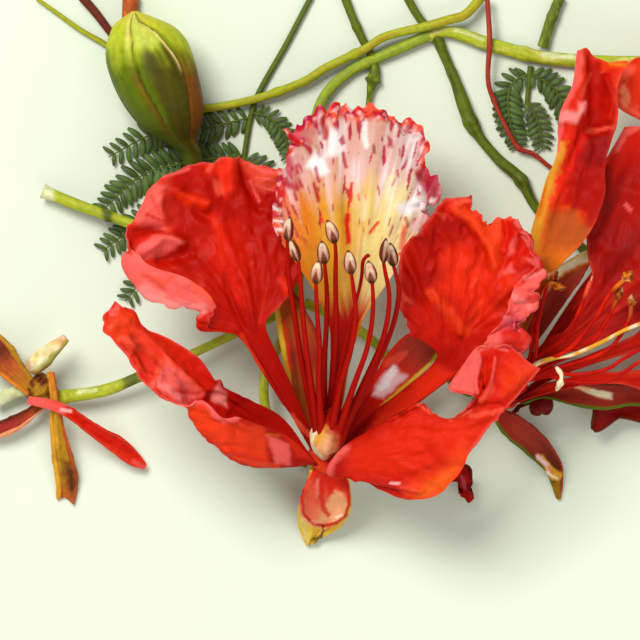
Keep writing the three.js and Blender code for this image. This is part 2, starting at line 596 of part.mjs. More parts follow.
// The withered bloom at the left: what is left of its sepals round a shrunken cup, and one petal
function witheredBloom() {
  const bloom = new THREE.Group();
  const cup = tube({
    path: [[-54.6, 12, 4.2], [-57, 12.6, 4.2], [-60.4, 13.5, 4.2]],
    rings: [[0, 1.4], [0.4, 2.1], [0.85, 2.6], [1, 1.6]],
    sides: 8,
  });
  bloom.add(piece("withered_cup", cup, colours.withered));
  const sepals = {
    withered_sepal_hanging: [
      [[-56.4, 17, 7.6], [-55.8, 12, 7.8], [-55.8, 6, 6.5], [-55.4, 0, 4.4], [-54.8, -4.6, 2.3],
        [-54.4, -8.8, 0.8]],
      [[-55.6, 17.2, 7.8], [-54.8, 12, 8], [-54.2, 6, 6.7], [-53.4, 0, 4.2], [-52.6, -4.8, 1.9],
        [-52.8, -8.4, 0.7]],
      [[-54.8, 17, 7.6], [-53.9, 12, 7.8], [-52.8, 6, 6.5], [-51.2, 0, 4.4], [-50.3, -4.6, 2.3],
        [-51, -9.8, 0.8]],
    ],
    withered_sepal_left: [
      [[-62.9, 13.2, 5.8], [-65.6, 16.4, 6.6], [-69, 20.4, 7.4], [-72.4, 24.6, 7.2], [-74, 28.2, 6.2]],
      [[-62.2, 14.6, 5.7], [-64, 17.8, 6.1], [-66.6, 21.6, 6.6], [-70.2, 25.4, 6.6], [-73.6, 28.8, 6]],
      [[-61.1, 15.7, 5.8], [-61.4, 18.6, 6.6], [-63.4, 22.2, 7.4], [-67.6, 26, 7.2], [-73, 29.2, 6.2]],
    ],
    withered_sepal_low: [
      [[-59.6, 9.6, 4.6], [-61.6, 8.8, 4.8], [-64.6, 7.6, 4.4], [-68, 6, 3.4], [-71, 3.6, 2.2]],
      [[-59.4, 8.6, 4.2], [-61.6, 7.4, 4.2], [-65, 6, 3.8], [-68.4, 4.6, 2.8], [-71.2, 3, 2]],
      [[-59, 7.6, 4.6], [-61.4, 6.2, 4.8], [-65, 4.4, 4.4], [-68.6, 3.2, 3.2], [-71.2, 2.4, 2.2]],
    ],
  };
  for (const [name, guides] of Object.entries(sepals)) {
    const geometry = sheet({ guides, thickness: sepalThickness, along: 7, across: 4 });
    bloom.add(piece(name, geometry, colours.withered));
  }
  const rolled = tube({
    path: [[-58.4, 16.2, 6.9], [-58.4, 19, 7.8], [-55.8, 21.6, 8.4], [-52.4, 24, 8.8]],
    rings: evenRings(6, [1.3, 2.1, 1.9, 1.4, 0.8]),
    sides: 8,
  });
  bloom.add(piece("withered_sepal_rolled", rolled, colours.cream));
  const stub = tube({
    path: [[-60.9, 13.4, 3.8], [-64, 12.6, 3.4], [-67, 10.6, 3]],
    rings: evenRings(4, [1, 1.3, 1]),
  });
  bloom.add(piece("withered_stub", stub, colours.cream));
  const petal = sheet({
    guides: [
      [[-60.4, 10.6, 7.2], [-56, 9.6, 9.6], [-52.6, 8.2, 9.8], [-48, 4.8, 7.8], [-44, 1.6, 5.4],
        [-40, -1.4, 3.4], [-36.8, -2.6, 2.4]],
      [[-60.2, 11.3, 7], [-56, 10.6, 9.4], [-52.2, 9.2, 9.5], [-47.4, 5.8, 7.4], [-42.8, 2.6, 5],
        [-39, 0, 3.2], [-36.4, -2.2, 2.3]],
      [[-60, 12.2, 7.2], [-55.8, 11.6, 9.6], [-51.6, 10, 9.8], [-46.6, 6.6, 7.8], [-41.4, 3.8, 5.4],
        [-38.2, 1, 3.4], [-36.2, -1.6, 2.4]],
    ],
    thickness: petalThickness,
    along: 9,
    across: 4,
  });
  bloom.add(piece("withered_petal", petal, colours.petal));
  return bloom;
}

// Stalks. The main stalk's right end is a flat cut; the flowering stalk carries the flower stalks.
const stalks = {
  main_stalk: {
    path: [
      [72, 79.6, stalkLevel], [66, 79.6, stalkLevel], [60, 79.6, stalkLevel], [50, 80.1, stalkLevel],
      [42.8, 80.9, stalkLevel], [33, 83.4, stalkLevel], [25, 86.1, stalkLevel], [21.4, 85.5, stalkLevel],
    ],
    radii: [1.55, stalkRadius, 1.4, 1.35, 1.5],
    steps: 14,
    sides: 8,
    colour: colours.stalk,
  },
  flowering_stalk: {
    path: [
      [20.9, 85.3, stalkLevel], [12, 81.3, 1.5], [5, 78, 1.5], [-0.8, 72, 2], [-3.2, 62, 3.2],
      [-4.4, 52, 4.8], [-5.2, 43, 6.3], [-6, 35, nodeLevel], [-6.8, 27.6, 7.2],
    ],
    radii: [1.3, 1.1, 1.05, 1.1, 1.2, 1.5, 1.3],
    steps: 18,
    sides: 8,
    colour: colours.stalk,
  },
  twig_top_left: {
    path: [[3.8, 93, 1.4], [5.4, 88.8, 1.6], [7.5, 83.8, 2.5]],
    radii: [0.9, 0.8],
    steps: 4,
    colour: colours.darkStalk,
  },
  twig_behind_standard: {
    path: [[9.8, 78.6, 1.4], [9.8, 77.4, 1.4], [9, 74, 1.4], [8.4, 70, 1.3], [8, 66, 1.2]],
    radii: [0.7, 1.2, 0.6, 0.55, 0.5],
    steps: 7,
    colour: colours.stalk,
  },
  twig_top: {
    path: [[16.4, 93, 2.6], [17.8, 90.4, 2.6], [19.4, 88.1, 2.8]],
    radii: [0.9, 0.8],
    steps: 4,
    colour: colours.darkStalk,
  },
  bare_axis: {
    path: [
      [23, 83.6, 1.5], [26, 76.4, 1.5], [29.6, 67, 1.7], [34.4, 60.6, 1.6], [39.2, 56.2, 1.7],
      [42.4, 50.6, 1.6], [47, 46, 1.5], [54, 40.6, 1.5],
    ],
    radii: [1.2, 1, 1.55, 1, 1.4, 1, 1, 0.9],
    steps: 18,
    colour: colours.darkStalk,
  },
  twig_top_right: {
    path: [[47.4, 93, 1.5], [45.4, 88, 1.5], [43.8, 82.8, 1.6]],
    radii: [1.05, 1.05],
    steps: 4,
    colour: colours.stalk,
  },
  red_stalk: {
    path: [
      [32.6, 93, 3.4], [33, 87, 3.8], [33.1, 83.3, 4], [32.8, 76, 3], [34.4, 71, 2.4], [37, 65.5, 2.1],
      [39, 62.4, 1.9], [42, 61.2, 1.8], [45, 58.8, 1.4], [48, 57, 1],
    ],
    radii: [0.5, 0.55, 0.5, 0.45, 0.5, 0.4],
    steps: 16,
    colour: colours.redStalk,
  },
  stub_pedicel: {
    path: [[-57.2, 53.7, 3], [-49, 50.4, 4], [-38.6, 46.7, 5.6], [-24, 41, 6.8], [-8.2, 34.8, 7]],
    radii: [1.15, pedicelRadius, 1, 0.95, pedicelRadius],
    steps: 10,
    colour: colours.stalk,
  },
  bud_pedicel: {
    path: [[-26, 58.6, 8.5], [-24.2, 54, 8], [-19.4, 46.4, 7.4], [-13, 41.6, 7], [-7.6, 39.4, 6.8]],
    radii: [1.6, 1.25, pedicelRadius, 1, pedicelRadius],
    steps: 9,
    colour: colours.stalk,
  },
  withered_pedicel: {
    path: [
      [-54.2, 11.9, 4.2], [-45, 13.3, 4.6], [-38, 16, 5.2], [-26.5, 21, 6.2], [-16, 26, 7],
      [-8.8, 29.2, 7.2],
    ],
    radii: [1.25, 1.15, 0.9, 0.9, pedicelRadius],
    steps: 10,
    colour: colours.stalk,
  },
  main_pedicel: {
    path: [
      [-6.86, 27.25, 7.2], [-8.2, 24.4, 7.4], [-12.2, 17, 7.6], [-12, 9, 6.6], [-8, 3.4, 5.4],
      [-3.8, -0.2, 4.8], [-1, -2.8, 6], [0.2, -3.9, 8.7],
    ],
    radii: [pedicelRadius, 1, 1, 1.1, 1.2],
    steps: 14,
    colour: colours.stalk,
  },
  side_pedicel: {
    path: [
      [-4.3, 31.2, 7.1], [3, 27.6, 6.8], [8, 24.6, 6.4], [12, 20.4, 6.2], [14.4, 14.6, 6], [16, 9.6, 5.8],
      [19.6, 6.6, 5.4], [25, 5.4, 4.8], [29, 6.4, 4.2], [30.3, 9.2, 4.4], [30.7, 11.1, 5.9],
      [31.57, 11.58, 7.02],
    ],
    radii: [pedicelRadius, 0.95, 0.95, 1, 1.1, 1.2],
    steps: 20,
    colour: colours.stalk,
  },
};

function stalk(name, { path, radii, steps, sides = 6, colour }) {
  return piece(name, tube({ path, rings: evenRings(steps, radii), sides, up: [0.35, 0.2, 0.92] }), colour);
}

// A stalk beside the main one that runs on under the bud, where it forks into three thin ends
function sideStalk() {
  const runner = tube({
    path: [
      [31.5, 93, 3.2], [28.2, 89.4, 3.6], [24.5, 88.2, 3.8], [20, 86.9, 3.9], [12, 84.9, 3.4],
      [7.5, 82.2, 2.8], [0, 78.6, 2.6], [-5, 75.6, 2.5], [-15, 72.1, 2.5], [-25, 70.4, 2.2],
      [-31, 71.6, 1.6], [-37, 76, 1], [-42, 81.3, 1], [-45, 83.6, 1], [-49.5, 86.2, 1], [-54, 89.4, 1],
      [-58.5, 92.6, 1],
    ],
    rings: evenRings(30, [1, 0.95, 0.9, 0.9, 0.85, 0.8, 0.75, 0.55, 0.4]),
    up: [0.35, 0.2, 0.92],
  });
  const darkEnd = tube({
    path: [[-39.4, 78.6, 1.1], [-42, 83.4, 1.2], [-46, 89, 1.3], [-49.4, 93, 1.4]],
    rings: evenRings(5, [0.6, 0.8, 0.95]),
  });
  const orangeEnd = tube({
    path: [[-36.8, 76, 1.1], [-39, 82, 1.4], [-39.7, 87.6, 1.7], [-39.5, 93, 1.8]],
    rings: evenRings(5, [0.6, 1, 1.5, 1.7]),
  });
  return piece("side_stalk", joined([runner, darkEnd, orangeEnd]), colours.stalk);
}

// A leaflet row: a flat blade whose outline is cut to the rib between its leaflets. The rib runs
// through [x, y] points; leaflets lean towards its tip and shorten at both ends.
function leafletBlade({ rib, leaflets, length }) {
  const line = curveThrough(rib.map(([x, y]) => [x, y, 0]));
  const ribHalf = 0.4;
  const lean = 0.55;
  const spacing = 1 / (leaflets + 0.6);

  function side(sign) {
    const at = (u, forward, out) => {
      const centre = line.getPointAt(Math.min(u, 1));
      const way = line.getTangentAt(Math.min(u, 1));
      return new THREE.Vector2(
        centre.x + way.x * forward - sign * way.y * out,
        centre.y + way.y * forward + sign * way.x * out,
      );
    };
    const points = [at(0, 0, ribHalf)];
    for (let i = 0; i < leaflets; i++) {
      const start = (i + 0.35) * spacing;
      const reach = length * (0.55 + 0.45 * Math.sin(Math.PI * (start * 0.85 + 0.12)));
      points.push(
        at(start, 0, ribHalf),
        at(start, reach * lean * 0.5, reach * 0.6),
        at(start, reach * lean, reach),
        at(start + spacing * 0.62, reach * lean * 0.35, reach * 0.5),
        at(start + spacing * 0.62, 0, ribHalf),
      );
    }
    return points;
  }

  const tip = line.getPointAt(1);
  const shape = new THREE.Shape([...side(-1), new THREE.Vector2(tip.x, tip.y), ...side(1).reverse()]);
  const blade = new THREE.ExtrudeGeometry(shape, { depth: leafThickness, bevelEnabled: false });
  return bent(blade, (p) => p.clone().setZ(p.z + leafLevel));
}

const leaves = {
  leaf_left: {
    midrib: [
      [-3, 93, 0.75], [-8, 83.5, 0.75], [-13.4, 74, 0.75], [-15.2, 69, 0.75], [-16.4, 62, 0.75],
      [-17.5, 54, 0.75], [-18.8, 46, 0.75], [-20.5, 38, 0.75], [-22, 33, 0.75],
    ],
    blades: [
      { rib: [[-15.2, 68.6], [-24, 66.6], [-34, 65.6], [-44, 60.6]], leaflets: 9, length: 4.2 },
      { rib: [[-16.6, 61], [-27, 59.6], [-37, 57], [-45.4, 49.6]], leaflets: 10, length: 4.6 },
      { rib: [[-17.8, 52], [-27, 50.6], [-37, 47.4], [-45.4, 41.4]], leaflets: 10, length: 4.2 },
      { rib: [[-19.4, 43], [-27, 41.6], [-35, 38], [-40.6, 31.4]], leaflets: 8, length: 4 },
      { rib: [[-15, 69.6], [-11.4, 68.4], [-8.4, 64.6], [-7.4, 60]], leaflets: 5, length: 3 },
      { rib: [[-16.6, 60.4], [-12.6, 58], [-10, 53.6], [-9.6, 48]], leaflets: 5, length: 3.4 },
    ],
  },
  leaf_right: {
    midrib: [[41.4, 79, 0.75], [41, 75, 0.75], [40.6, 71, 0.75]],
    blades: [
      { rib: [[41.2, 77.6], [37.4, 75], [37, 69], [39, 62.6]], leaflets: 7, length: 3.6 },
      { rib: [[40.8, 72], [42.4, 69], [43.4, 66], [43.8, 62]], leaflets: 4, length: 3 },
      { rib: [[41.2, 77.6], [45.6, 75], [48.6, 70.6], [51, 65]], leaflets: 6, length: 3.6 },
    ],
  },
};

function leaf(name, { midrib, blades }) {
  const rib = tube({ path: midrib, rings: evenRings(10, [twigRadius, twigRadius, 0.5]), sides: 6 });
  return piece(name, joined([rib, ...blades.map(leafletBlade)]), colours.leaf, 0.7);
}

const sprig = new THREE.Group();
sprig.add(mainBloom(), sideBloom(), bud(), witheredBloom(), sideStalk());
for (const [name, sizes] of Object.entries(stalks)) sprig.add(stalk(name, sizes));
for (const [name, sizes] of Object.entries(leaves)) sprig.add(leaf(name, sizes));

// The part's own origin is the middle of its box, on the surface that it lies on
const box = new THREE.Box3().setFromObject(sprig, true);
const middle = box.getCenter(new THREE.Vector3());
sprig.position.set(-middle.x, -middle.y, -box.min.z);

export default sprig;
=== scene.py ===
import math
import random

import bmesh
import bpy
import numpy as np
from mathutils import Matrix, Vector, noise


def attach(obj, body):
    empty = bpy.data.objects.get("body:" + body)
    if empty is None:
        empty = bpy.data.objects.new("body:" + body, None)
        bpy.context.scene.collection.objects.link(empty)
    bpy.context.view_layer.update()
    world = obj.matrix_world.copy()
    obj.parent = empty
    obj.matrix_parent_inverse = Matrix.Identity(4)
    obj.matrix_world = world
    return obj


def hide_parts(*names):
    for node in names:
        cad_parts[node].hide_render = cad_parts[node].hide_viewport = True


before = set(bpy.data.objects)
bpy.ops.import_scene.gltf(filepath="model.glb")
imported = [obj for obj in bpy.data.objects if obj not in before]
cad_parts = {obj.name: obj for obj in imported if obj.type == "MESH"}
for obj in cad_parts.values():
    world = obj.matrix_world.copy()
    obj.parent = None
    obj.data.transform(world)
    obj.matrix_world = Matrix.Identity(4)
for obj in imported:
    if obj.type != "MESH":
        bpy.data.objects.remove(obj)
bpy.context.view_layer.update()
print("frame loaded:", len(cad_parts), "nodes")

# Pieces are laid out in millimetres with the foot of the open bloom at X 0, Y 0, then moved to the
# part's own middle
layoutShift = Vector((-6.628, -37.727, -0.1))
bpy.context.scene.view_settings.view_transform = "Standard"  # keeps the reds as pure as they are


def tint(code):
    # a colour as it looks on screen, made linear
    parts = [int(code[i:i + 2], 16) / 255 for i in (0, 2, 4)]
    return np.array([p / 12.92 if p <= 0.04045 else ((p + 0.055) / 1.055) ** 2.4 for p in parts])


inks = {name: tint(code) for name, code in {
    "maroon": "6a0804", "claret": "960a02", "deepRed": "b80c00", "red": "da1a04", "scarlet": "ee2c0a",
    "flame": "fa4418", "coral": "fc5a3c", "pink": "ff6a60", "palePink": "ff9086", "crimson": "bc1036",
    "rose": "d8566a", "mauve": "a4301e", "blush": "f6c4c0", "white": "fff6f2", "grey": "d8bab4",
    "cream": "fbeebe", "straw": "f4d884", "yellow": "f6cc38", "gold": "eaa62a", "orange": "ea8018",
    "rust": "b8561a", "peach": "ff9c68", "brown": "6e2610", "umber": "3c1c06", "lime": "b2bc24",
    "citrine": "a8ac16", "leaf": "92a422", "moss": "5c6e06", "olive": "424c08", "forest": "2a461c",
    "fern": "48682e", "pale": "e6e8b0", "dusk": "dca48c", "apricot": "ffb27c", "sienna": "7a3606",
    "bark": "463c04", "ochre": "b8820e",
}.items()}


# Curves and small sums

def smooth(low, high, x):
    t = np.clip((x - low) / (high - low), 0, 1)
    return t * t * (3 - 2 * t)


def mixed(first, second, share):
    # first and second are colours or names of inks
    first, second = (inks[colour] if isinstance(colour, str) else colour for colour in (first, second))
    return first + (second - first) * np.clip(share, 0, 1)[:, None]


def unit(ways):
    return ways / np.maximum(np.linalg.norm(ways, axis=1), 1e-9)[:, None]


def curveAt(stations, place):
    # a smooth curve through stations, each a point or one point per place; place runs from 0 to 1
    stations = np.asarray(stations, float)
    ends = np.concatenate([[2 * stations[0] - stations[1]], stations, [2 * stations[-1] - stations[-2]]])
    scaled = np.clip(place, 0, 1) * (len(stations) - 1)
    index = np.minimum(scaled.astype(int), len(stations) - 2)
    t = (scaled - index)[:, None]
    each = () if stations.ndim == 2 else (np.arange(len(index)),)
    a, b, c, d = (ends[(index + n, *each)] for n in range(4))
    return b + 0.5 * t * (c - a + t * (2 * a - 5 * b + 4 * c - d + t * (3 * (b - c) + d - a)))


def shades(stops, along):
    # inks that follow one another from foot to tip
    return curveAt([inks[stop] for stop in stops], along)


def alongPath(path, place):
    # middle and direction of a path at even shares of its length
    share = np.linspace(0, 1, 300)
    fine = curveAt(path, share)
    run = np.r_[0, np.cumsum(np.linalg.norm(np.diff(fine, axis=0), axis=1))]
    at = np.interp(place * run[-1], run, share)
    ahead = curveAt(path, np.minimum(at + 0.004, 1)) - curveAt(path, np.maximum(at - 0.004, 0))
    return curveAt(path, at), unit(ahead)


def wander(points, size, seed=0):
    # smooth noise from about -1 to 1
    start = Vector((seed * 7.3, seed * 3.1, seed * 5.7))
    return np.array([noise.noise(Vector(p) / size + start) for p in points.tolist()])


def lineDistance(points, route):
    best = np.full(len(points), 1e9)
    for (ax, ay), (bx, by) in zip(route, route[1:] if len(route) > 1 else route):
        dx, dy = bx - ax, by - ay
        t = ((points[:, 0] - ax) * dx + (points[:, 1] - ay) * dy) / max(dx * dx + dy * dy, 1e-9)
        t = np.clip(t, 0, 1)
        best = np.minimum(best, np.hypot(points[:, 0] - ax - t * dx, points[:, 1] - ay - t * dy))
    return best


def areaDepth(points, outline):
    # how deep a point is inside an outline seen from above, less than 0 outside it
    inside = np.zeros(len(points), bool)
    for (ax, ay), (bx, by) in zip(outline, outline[1:] + outline[:1]):
        if ay != by:
            crossing = (ay > points[:, 1]) != (by > points[:, 1])
            inside ^= crossing & (points[:, 0] < (bx - ax) * (points[:, 1] - ay) / (by - ay) + ax)
    depth = lineDistance(points, outline + outline[:1])
    return np.where(inside, depth, -depth)


# Marks that are laid over a piece: painted lines and areas, ridges and pulls, all seen from above.
# side keeps a mark to a share of the width, from -1 at the first margin to 1 at the last.

brush = {"stray": 0.45, "straySize": 2.2, "fray": 0.35, "fraySize": 0.7, "seed": 21}


def line(route, width, ink, strength=0.8, side=(-1, 1)):
    return {"route": route, "width": width, "ink": ink, "strength": strength, "side": side}


def area(outline, soft, ink, strength=0.8, side=(-1, 1)):
    return {"outline": outline, "soft": soft, "ink": ink, "strength": strength, "side": side}


def ridge(route, width, height, side=(-1, 1)):
    return {"route": route, "width": width, "height": height, "side": side}


def pull(x, y, reach, move, side=(-1, 1)):
    return {"at": (x, y), "reach": reach, "move": move, "side": side}


def onSide(mark, across):
    low, high = mark["side"]
    return (across >= low - 1e-6) & (across <= high + 1e-6)


def painted(colours, points, across, marks):
    size, seed = brush["straySize"], brush["seed"]
    stray = np.c_[wander(points, size, seed), wander(points, size, seed + 1), points[:, 2] * 0]
    stray = brush["stray"] * stray
    fray = brush["fray"] * wander(points, brush["fraySize"], seed + 2)
    for mark in marks:
        if "route" in mark:
            width = mark["width"] * (1 + fray)
            away = lineDistance(points + stray * min(mark["width"], 1.4), mark["route"])
            share = 1 - smooth(0.3, 1.1, away / width)
        else:
            depth = areaDepth(points + stray * 1.2, mark["outline"])
            share = smooth(-mark["soft"], mark["soft"], depth + mark["soft"] * fray)
        share = share * mark["strength"] * onSide(mark, across)
        colours = mixed(colours, mark["ink"], share)
    return colours


# Meshes

millimetre = 0.001
sharpEdge = math.radians(62)
sheetDefaults = {
    "length": 60, "blade": (0.3, 0.5), "fan": (0, 0), "seed": 1, "thickness": 0.3,
    "pulls": [], "teeth": [], "ripples": [], "ridges": [], "creases": [], "crinkle": [], "paint": [],
    "calm": (4, 17),  # ripples and creases start between these distances from the fan's middle
    "inside": 0.25, "claw": 0.3,  # shares of the ripples inside the margin, and of the crinkle on the claw
}


def coordinates(bm):
    return np.array([vert.co[:] for vert in bm.verts])


def settle(bm, points):
    for vert, point in zip(bm.verts, points.tolist()):
        vert.co = point


def normals(bm):
    bm.normal_update()
    return np.array([vert.normal[:] for vert in bm.verts])


def dress(bm, across, along, colours):
    # every vertex keeps its place on the piece and its colour
    acrossLayer = bm.verts.layers.float.new("across")
    alongLayer = bm.verts.layers.float.new("along")
    paintLayer = bm.verts.layers.float_color.new("paint")
    for vert, a, b, colour in zip(bm.verts, across.tolist(), along.tolist(), colours.tolist()):
        vert[acrossLayer] = a
        vert[alongLayer] = b
        vert[paintLayer] = (*colour, 1)


def thicken(bm, thickness):
    # a second skin under the first, joined to it round the margin
    skin = bmesh.ops.extrude_face_region(bm, geom=bm.faces[:], use_keep_orig=True)["geom"]
    bm.normal_update()
    under = [item for item in skin if isinstance(item, bmesh.types.BMVert)]
    ways = [vert.normal.copy() for vert in under]
    for vert, way in zip(under, ways):
        vert.co -= way * thickness
    bmesh.ops.recalc_face_normals(bm, faces=bm.faces)


def joinTo(whole, bm):
    mesh = bpy.data.meshes.new("part")
    bm.to_mesh(mesh)
    bm.free()
    whole.from_mesh(mesh)
    bpy.data.meshes.remove(mesh)


def addPiece(name, bm, skin, slot, *nodes):
    if bm.calc_volume(signed=True) < 0:
        bmesh.ops.reverse_faces(bm, faces=bm.faces)
    bmesh.ops.translate(bm, verts=bm.verts, vec=layoutShift)
    bmesh.ops.scale(bm, verts=bm.verts, vec=(millimetre, millimetre, millimetre))
    uvLayer = bm.loops.layers.uv.new("UVMap")
    acrossLayer = bm.verts.layers.float["across"]
    alongLayer = bm.verts.layers.float["along"]
    for face in bm.faces:
        face.smooth = True
        for loop in face.loops:
            loop[uvLayer].uv = (loop.vert[acrossLayer], loop.vert[alongLayer])
    for edge in bm.edges:
        edge.smooth = edge.calc_face_angle(0) < sharpEdge
    mesh = bpy.data.meshes.new(name)
    bm.to_mesh(mesh)
    bm.free()
    mesh.materials.append(skins[skin])
    piece = bpy.data.objects.new(name, mesh)
    bpy.context.scene.collection.objects.link(piece)
    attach(piece, "root")
    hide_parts(*nodes)


def sheet(settings):
    # a petal or sepal: a grid stretched over guide lines that run from its foot to its tip, pulled and
    # folded, then painted and given its thickness
    settings = {**sheetDefaults, **settings}
    rows, columns = settings["grid"]
    bm = bmesh.new()
    bmesh.ops.create_grid(bm, x_segments=columns, y_segments=rows, size=1)
    flat = coordinates(bm)
    across, along = flat[:, 0], (flat[:, 1] + 1) / 2
    guides = [curveAt(guide, along) for guide in settings["guides"]]
    points = curveAt(np.stack(guides), (across + 1) / 2)
    start, full = settings["blade"]  # where the claw ends and the blade is full
    blade = smooth(start, full, along)
    halfWidth = np.linalg.norm(guides[-1] - guides[0], axis=1) / 2
    rim = np.minimum((1 - np.abs(across)) * halfWidth, (1 - along) * settings["length"])

    for mark in settings["pulls"]:
        away = np.hypot(points[:, 0] - mark["at"][0], points[:, 1] - mark["at"][1])
        share = (1 - smooth(0, mark["reach"], away)) * onSide(mark, across)
        points = points + share[:, None] * np.array(mark["move"])

    fanX, fanY = settings["fan"]
    turn = np.arctan2(points[:, 0] - fanX, points[:, 1] - fanY)
    out = np.hypot(points[:, 0] - fanX, points[:, 1] - fanY)
    seed = settings["seed"]
    swirl = wander(np.c_[turn * 6, out * 0.05, across * 0], 1, seed)
    for i, (count, height, reach) in enumerate(settings["teeth"]):
        # uneven teeth along the margin
        jut = height * np.sin(count * turn + 3 * swirl + i + seed) * np.exp(-rim / reach) * blade
        points = points + jut[:, None] * np.c_[np.sin(turn), np.cos(turn), turn * 0]

    settle(bm, points)
    ways = normals(bm)
    if ways[:, 2].sum() < 0:
        bmesh.ops.reverse_faces(bm, faces=bm.faces)
        ways = -ways
    rise = np.zeros(len(points))
    spread = blade * smooth(*settings["calm"], out)
    inside, claw = settings["inside"], settings["claw"]
    for i, (count, height, reach) in enumerate(settings["ripples"]):
        # crests that run out from the end of the claw and grow towards the margin
        crest = np.sin(count * turn + 2.5 * swirl + 1.7 * i + seed)
        rise += height * crest * (inside + (1 - inside) * np.exp(-rim / reach)) * spread
    for mark in settings["ridges"]:
        away = lineDistance(points, mark["route"])
        rise += mark["height"] * np.exp(-(away / mark["width"]) ** 2) * onSide(mark, across)
    for size, height in settings["creases"]:
        # sharp folds, as in crumpled tissue, drawn out along the petal
        fold = np.abs(wander(np.c_[turn * 20, out * 0.6, across * 0], size, seed + size))
        rise += height * (0.4 - 2 * fold) * spread
    for size, height in settings["crinkle"]:
        rise += height * wander(points, size, seed + size) * (claw + (1 - claw) * blade)
    points = points + ways * rise[:, None]
    settle(bm, points)

    colours = settings["base"](points, across, along, rim, turn, out)
    colours = painted(colours, points, across, settings["paint"])
    dress(bm, across, along, colours)
    thicken(bm, settings["thickness"])
    return bm


def tube(path, radii, sides=12, steps=24, upright=(0, 0, 1), shape=None, base=None, paint=(), level=None):
    # a round body along a path; shape changes its radius round about, base colours it, and level is the
    # way that its sections face where they don't follow the path
    bm = bmesh.new()
    bmesh.ops.create_cone(bm, cap_ends=True, segments=sides, radius1=1, radius2=1, depth=1)
    lengthwise = [e for e in bm.edges if abs(e.verts[0].co.z - e.verts[1].co.z) > 0.5]
    bmesh.ops.subdivide_edges(bm, edges=lengthwise, cuts=steps - 1)
    flat = coordinates(bm)
    along, turn = flat[:, 2] + 0.5, np.arctan2(flat[:, 1], flat[:, 0])
    middle, forward = alongPath(path, along)
    if level:
        middle, forward = curveAt(path, along), np.array(level, float) + 0 * forward
    side = unit(np.cross(np.array(upright, float), forward))
    lift = np.cross(forward, side)
    radius = curveAt(np.c_[radii, radii, radii], along)[:, 0]
    if shape:
        radius = radius * shape(along, turn, middle)
    points = middle + radius[:, None] * (np.cos(turn)[:, None] * side + np.sin(turn)[:, None] * lift)
    settle(bm, points)
    colours = base(points, along, turn, normals(bm))
    dress(bm, np.cos(turn), along, painted(colours, points, np.sin(turn), paint))
    return bm


def bodyOf(form, **more):
    return tube(form["path"], form["radii"], form["sides"], form["steps"], **more)


def spun(profile, bloom, steps, base):
    # a body turned round a bloom's axis from (radius, height over the rim) points
    bm = bmesh.new()
    ring = [bm.verts.new((r, 0, h)) for r, h in profile]
    edges = [bm.edges.new(pair) for pair in zip(ring, ring[1:])]
    bmesh.ops.spin(bm, geom=ring + edges, cent=(0, 0, 0), axis=(0, 0, 1), angle=math.tau, steps=steps,
                   use_merge=True)
    bmesh.ops.remove_doubles(bm, verts=bm.verts, dist=1e-4)
    bmesh.ops.recalc_face_normals(bm, faces=bm.faces)
    flat = coordinates(bm)
    turn = np.arctan2(flat[:, 1], flat[:, 0])
    height = flat[:, 2]
    colours = base(np.hypot(flat[:, 0], flat[:, 1]), height, turn)
    span = height.max() - height.min()
    dress(bm, np.cos(turn), (height - height.min()) / span, colours)
    turned = Matrix((bloom["right"], bloom["up"], bloom["axis"])).transposed().to_4x4()
    bmesh.ops.transform(bm, matrix=Matrix.Translation(bloom["rim"]) @ turned, verts=bm.verts)
    return bm


# Where a bloom stands: the middle of its receptacle's rim, and the axis that the rim faces along

def bloomFrame(rim, axis):
    forward = Vector(axis).normalized()
    right = Vector((1, 0, 0))
    right = (right - forward * right.dot(forward)).normalized()
    return {"rim": Vector(rim), "axis": forward, "right": right, "up": forward.cross(right)}


def ringPoint(bloom, angle, radius, height, shift=0):
    c, s = math.cos(math.radians(angle)), math.sin(math.radians(angle))
    return (bloom["rim"] + bloom["axis"] * height + bloom["right"] * (radius * c - shift * s)
            + bloom["up"] * (radius * s + shift * c))


def withFoot(bloom, settings, radius, height, width):
    # every guide starts on the receptacle's ring, in the order that doesn't cross the guides
    guides, angle = settings["guides"], settings["angle"]
    first, last = Vector(guides[0][0]), Vector(guides[-1][0])
    way = ringPoint(bloom, angle, radius, height, -1) - ringPoint(bloom, angle, radius, height, 1)
    width = math.copysign(width, (last - first).dot(way))
    places = [width * (0.5 - i / (len(guides) - 1)) for i in range(len(guides))]
    feet = [ringPoint(bloom, angle, radius, height, place)[:] for place in places]
    return {**settings, "guides": [[foot, *guide] for foot, guide in zip(feet, guides)]}


def addPetal(name, bloom, settings, skin="petalSkin", slot="red_petal"):
    settings = withFoot(bloom, settings, **petalFoot)
    addPiece(name, sheet(settings), skin, slot, settings["node"])


petalFoot = {"radius": 3.3, "height": 0.45, "width": 1.9}
sepalFoot = {"radius": 4.7, "height": -1, "width": 3.6}
mainFrame = bloomFrame((0.5, 0.6, 15.5), (0, 0.6, 0.8))
sideFrame = bloomFrame((36, 13.8, 12.5), (0.6, 0.3, 0.742))


# Finishes. Colours that have a place are painted on the mesh; veins, mottling and fine relief are here.

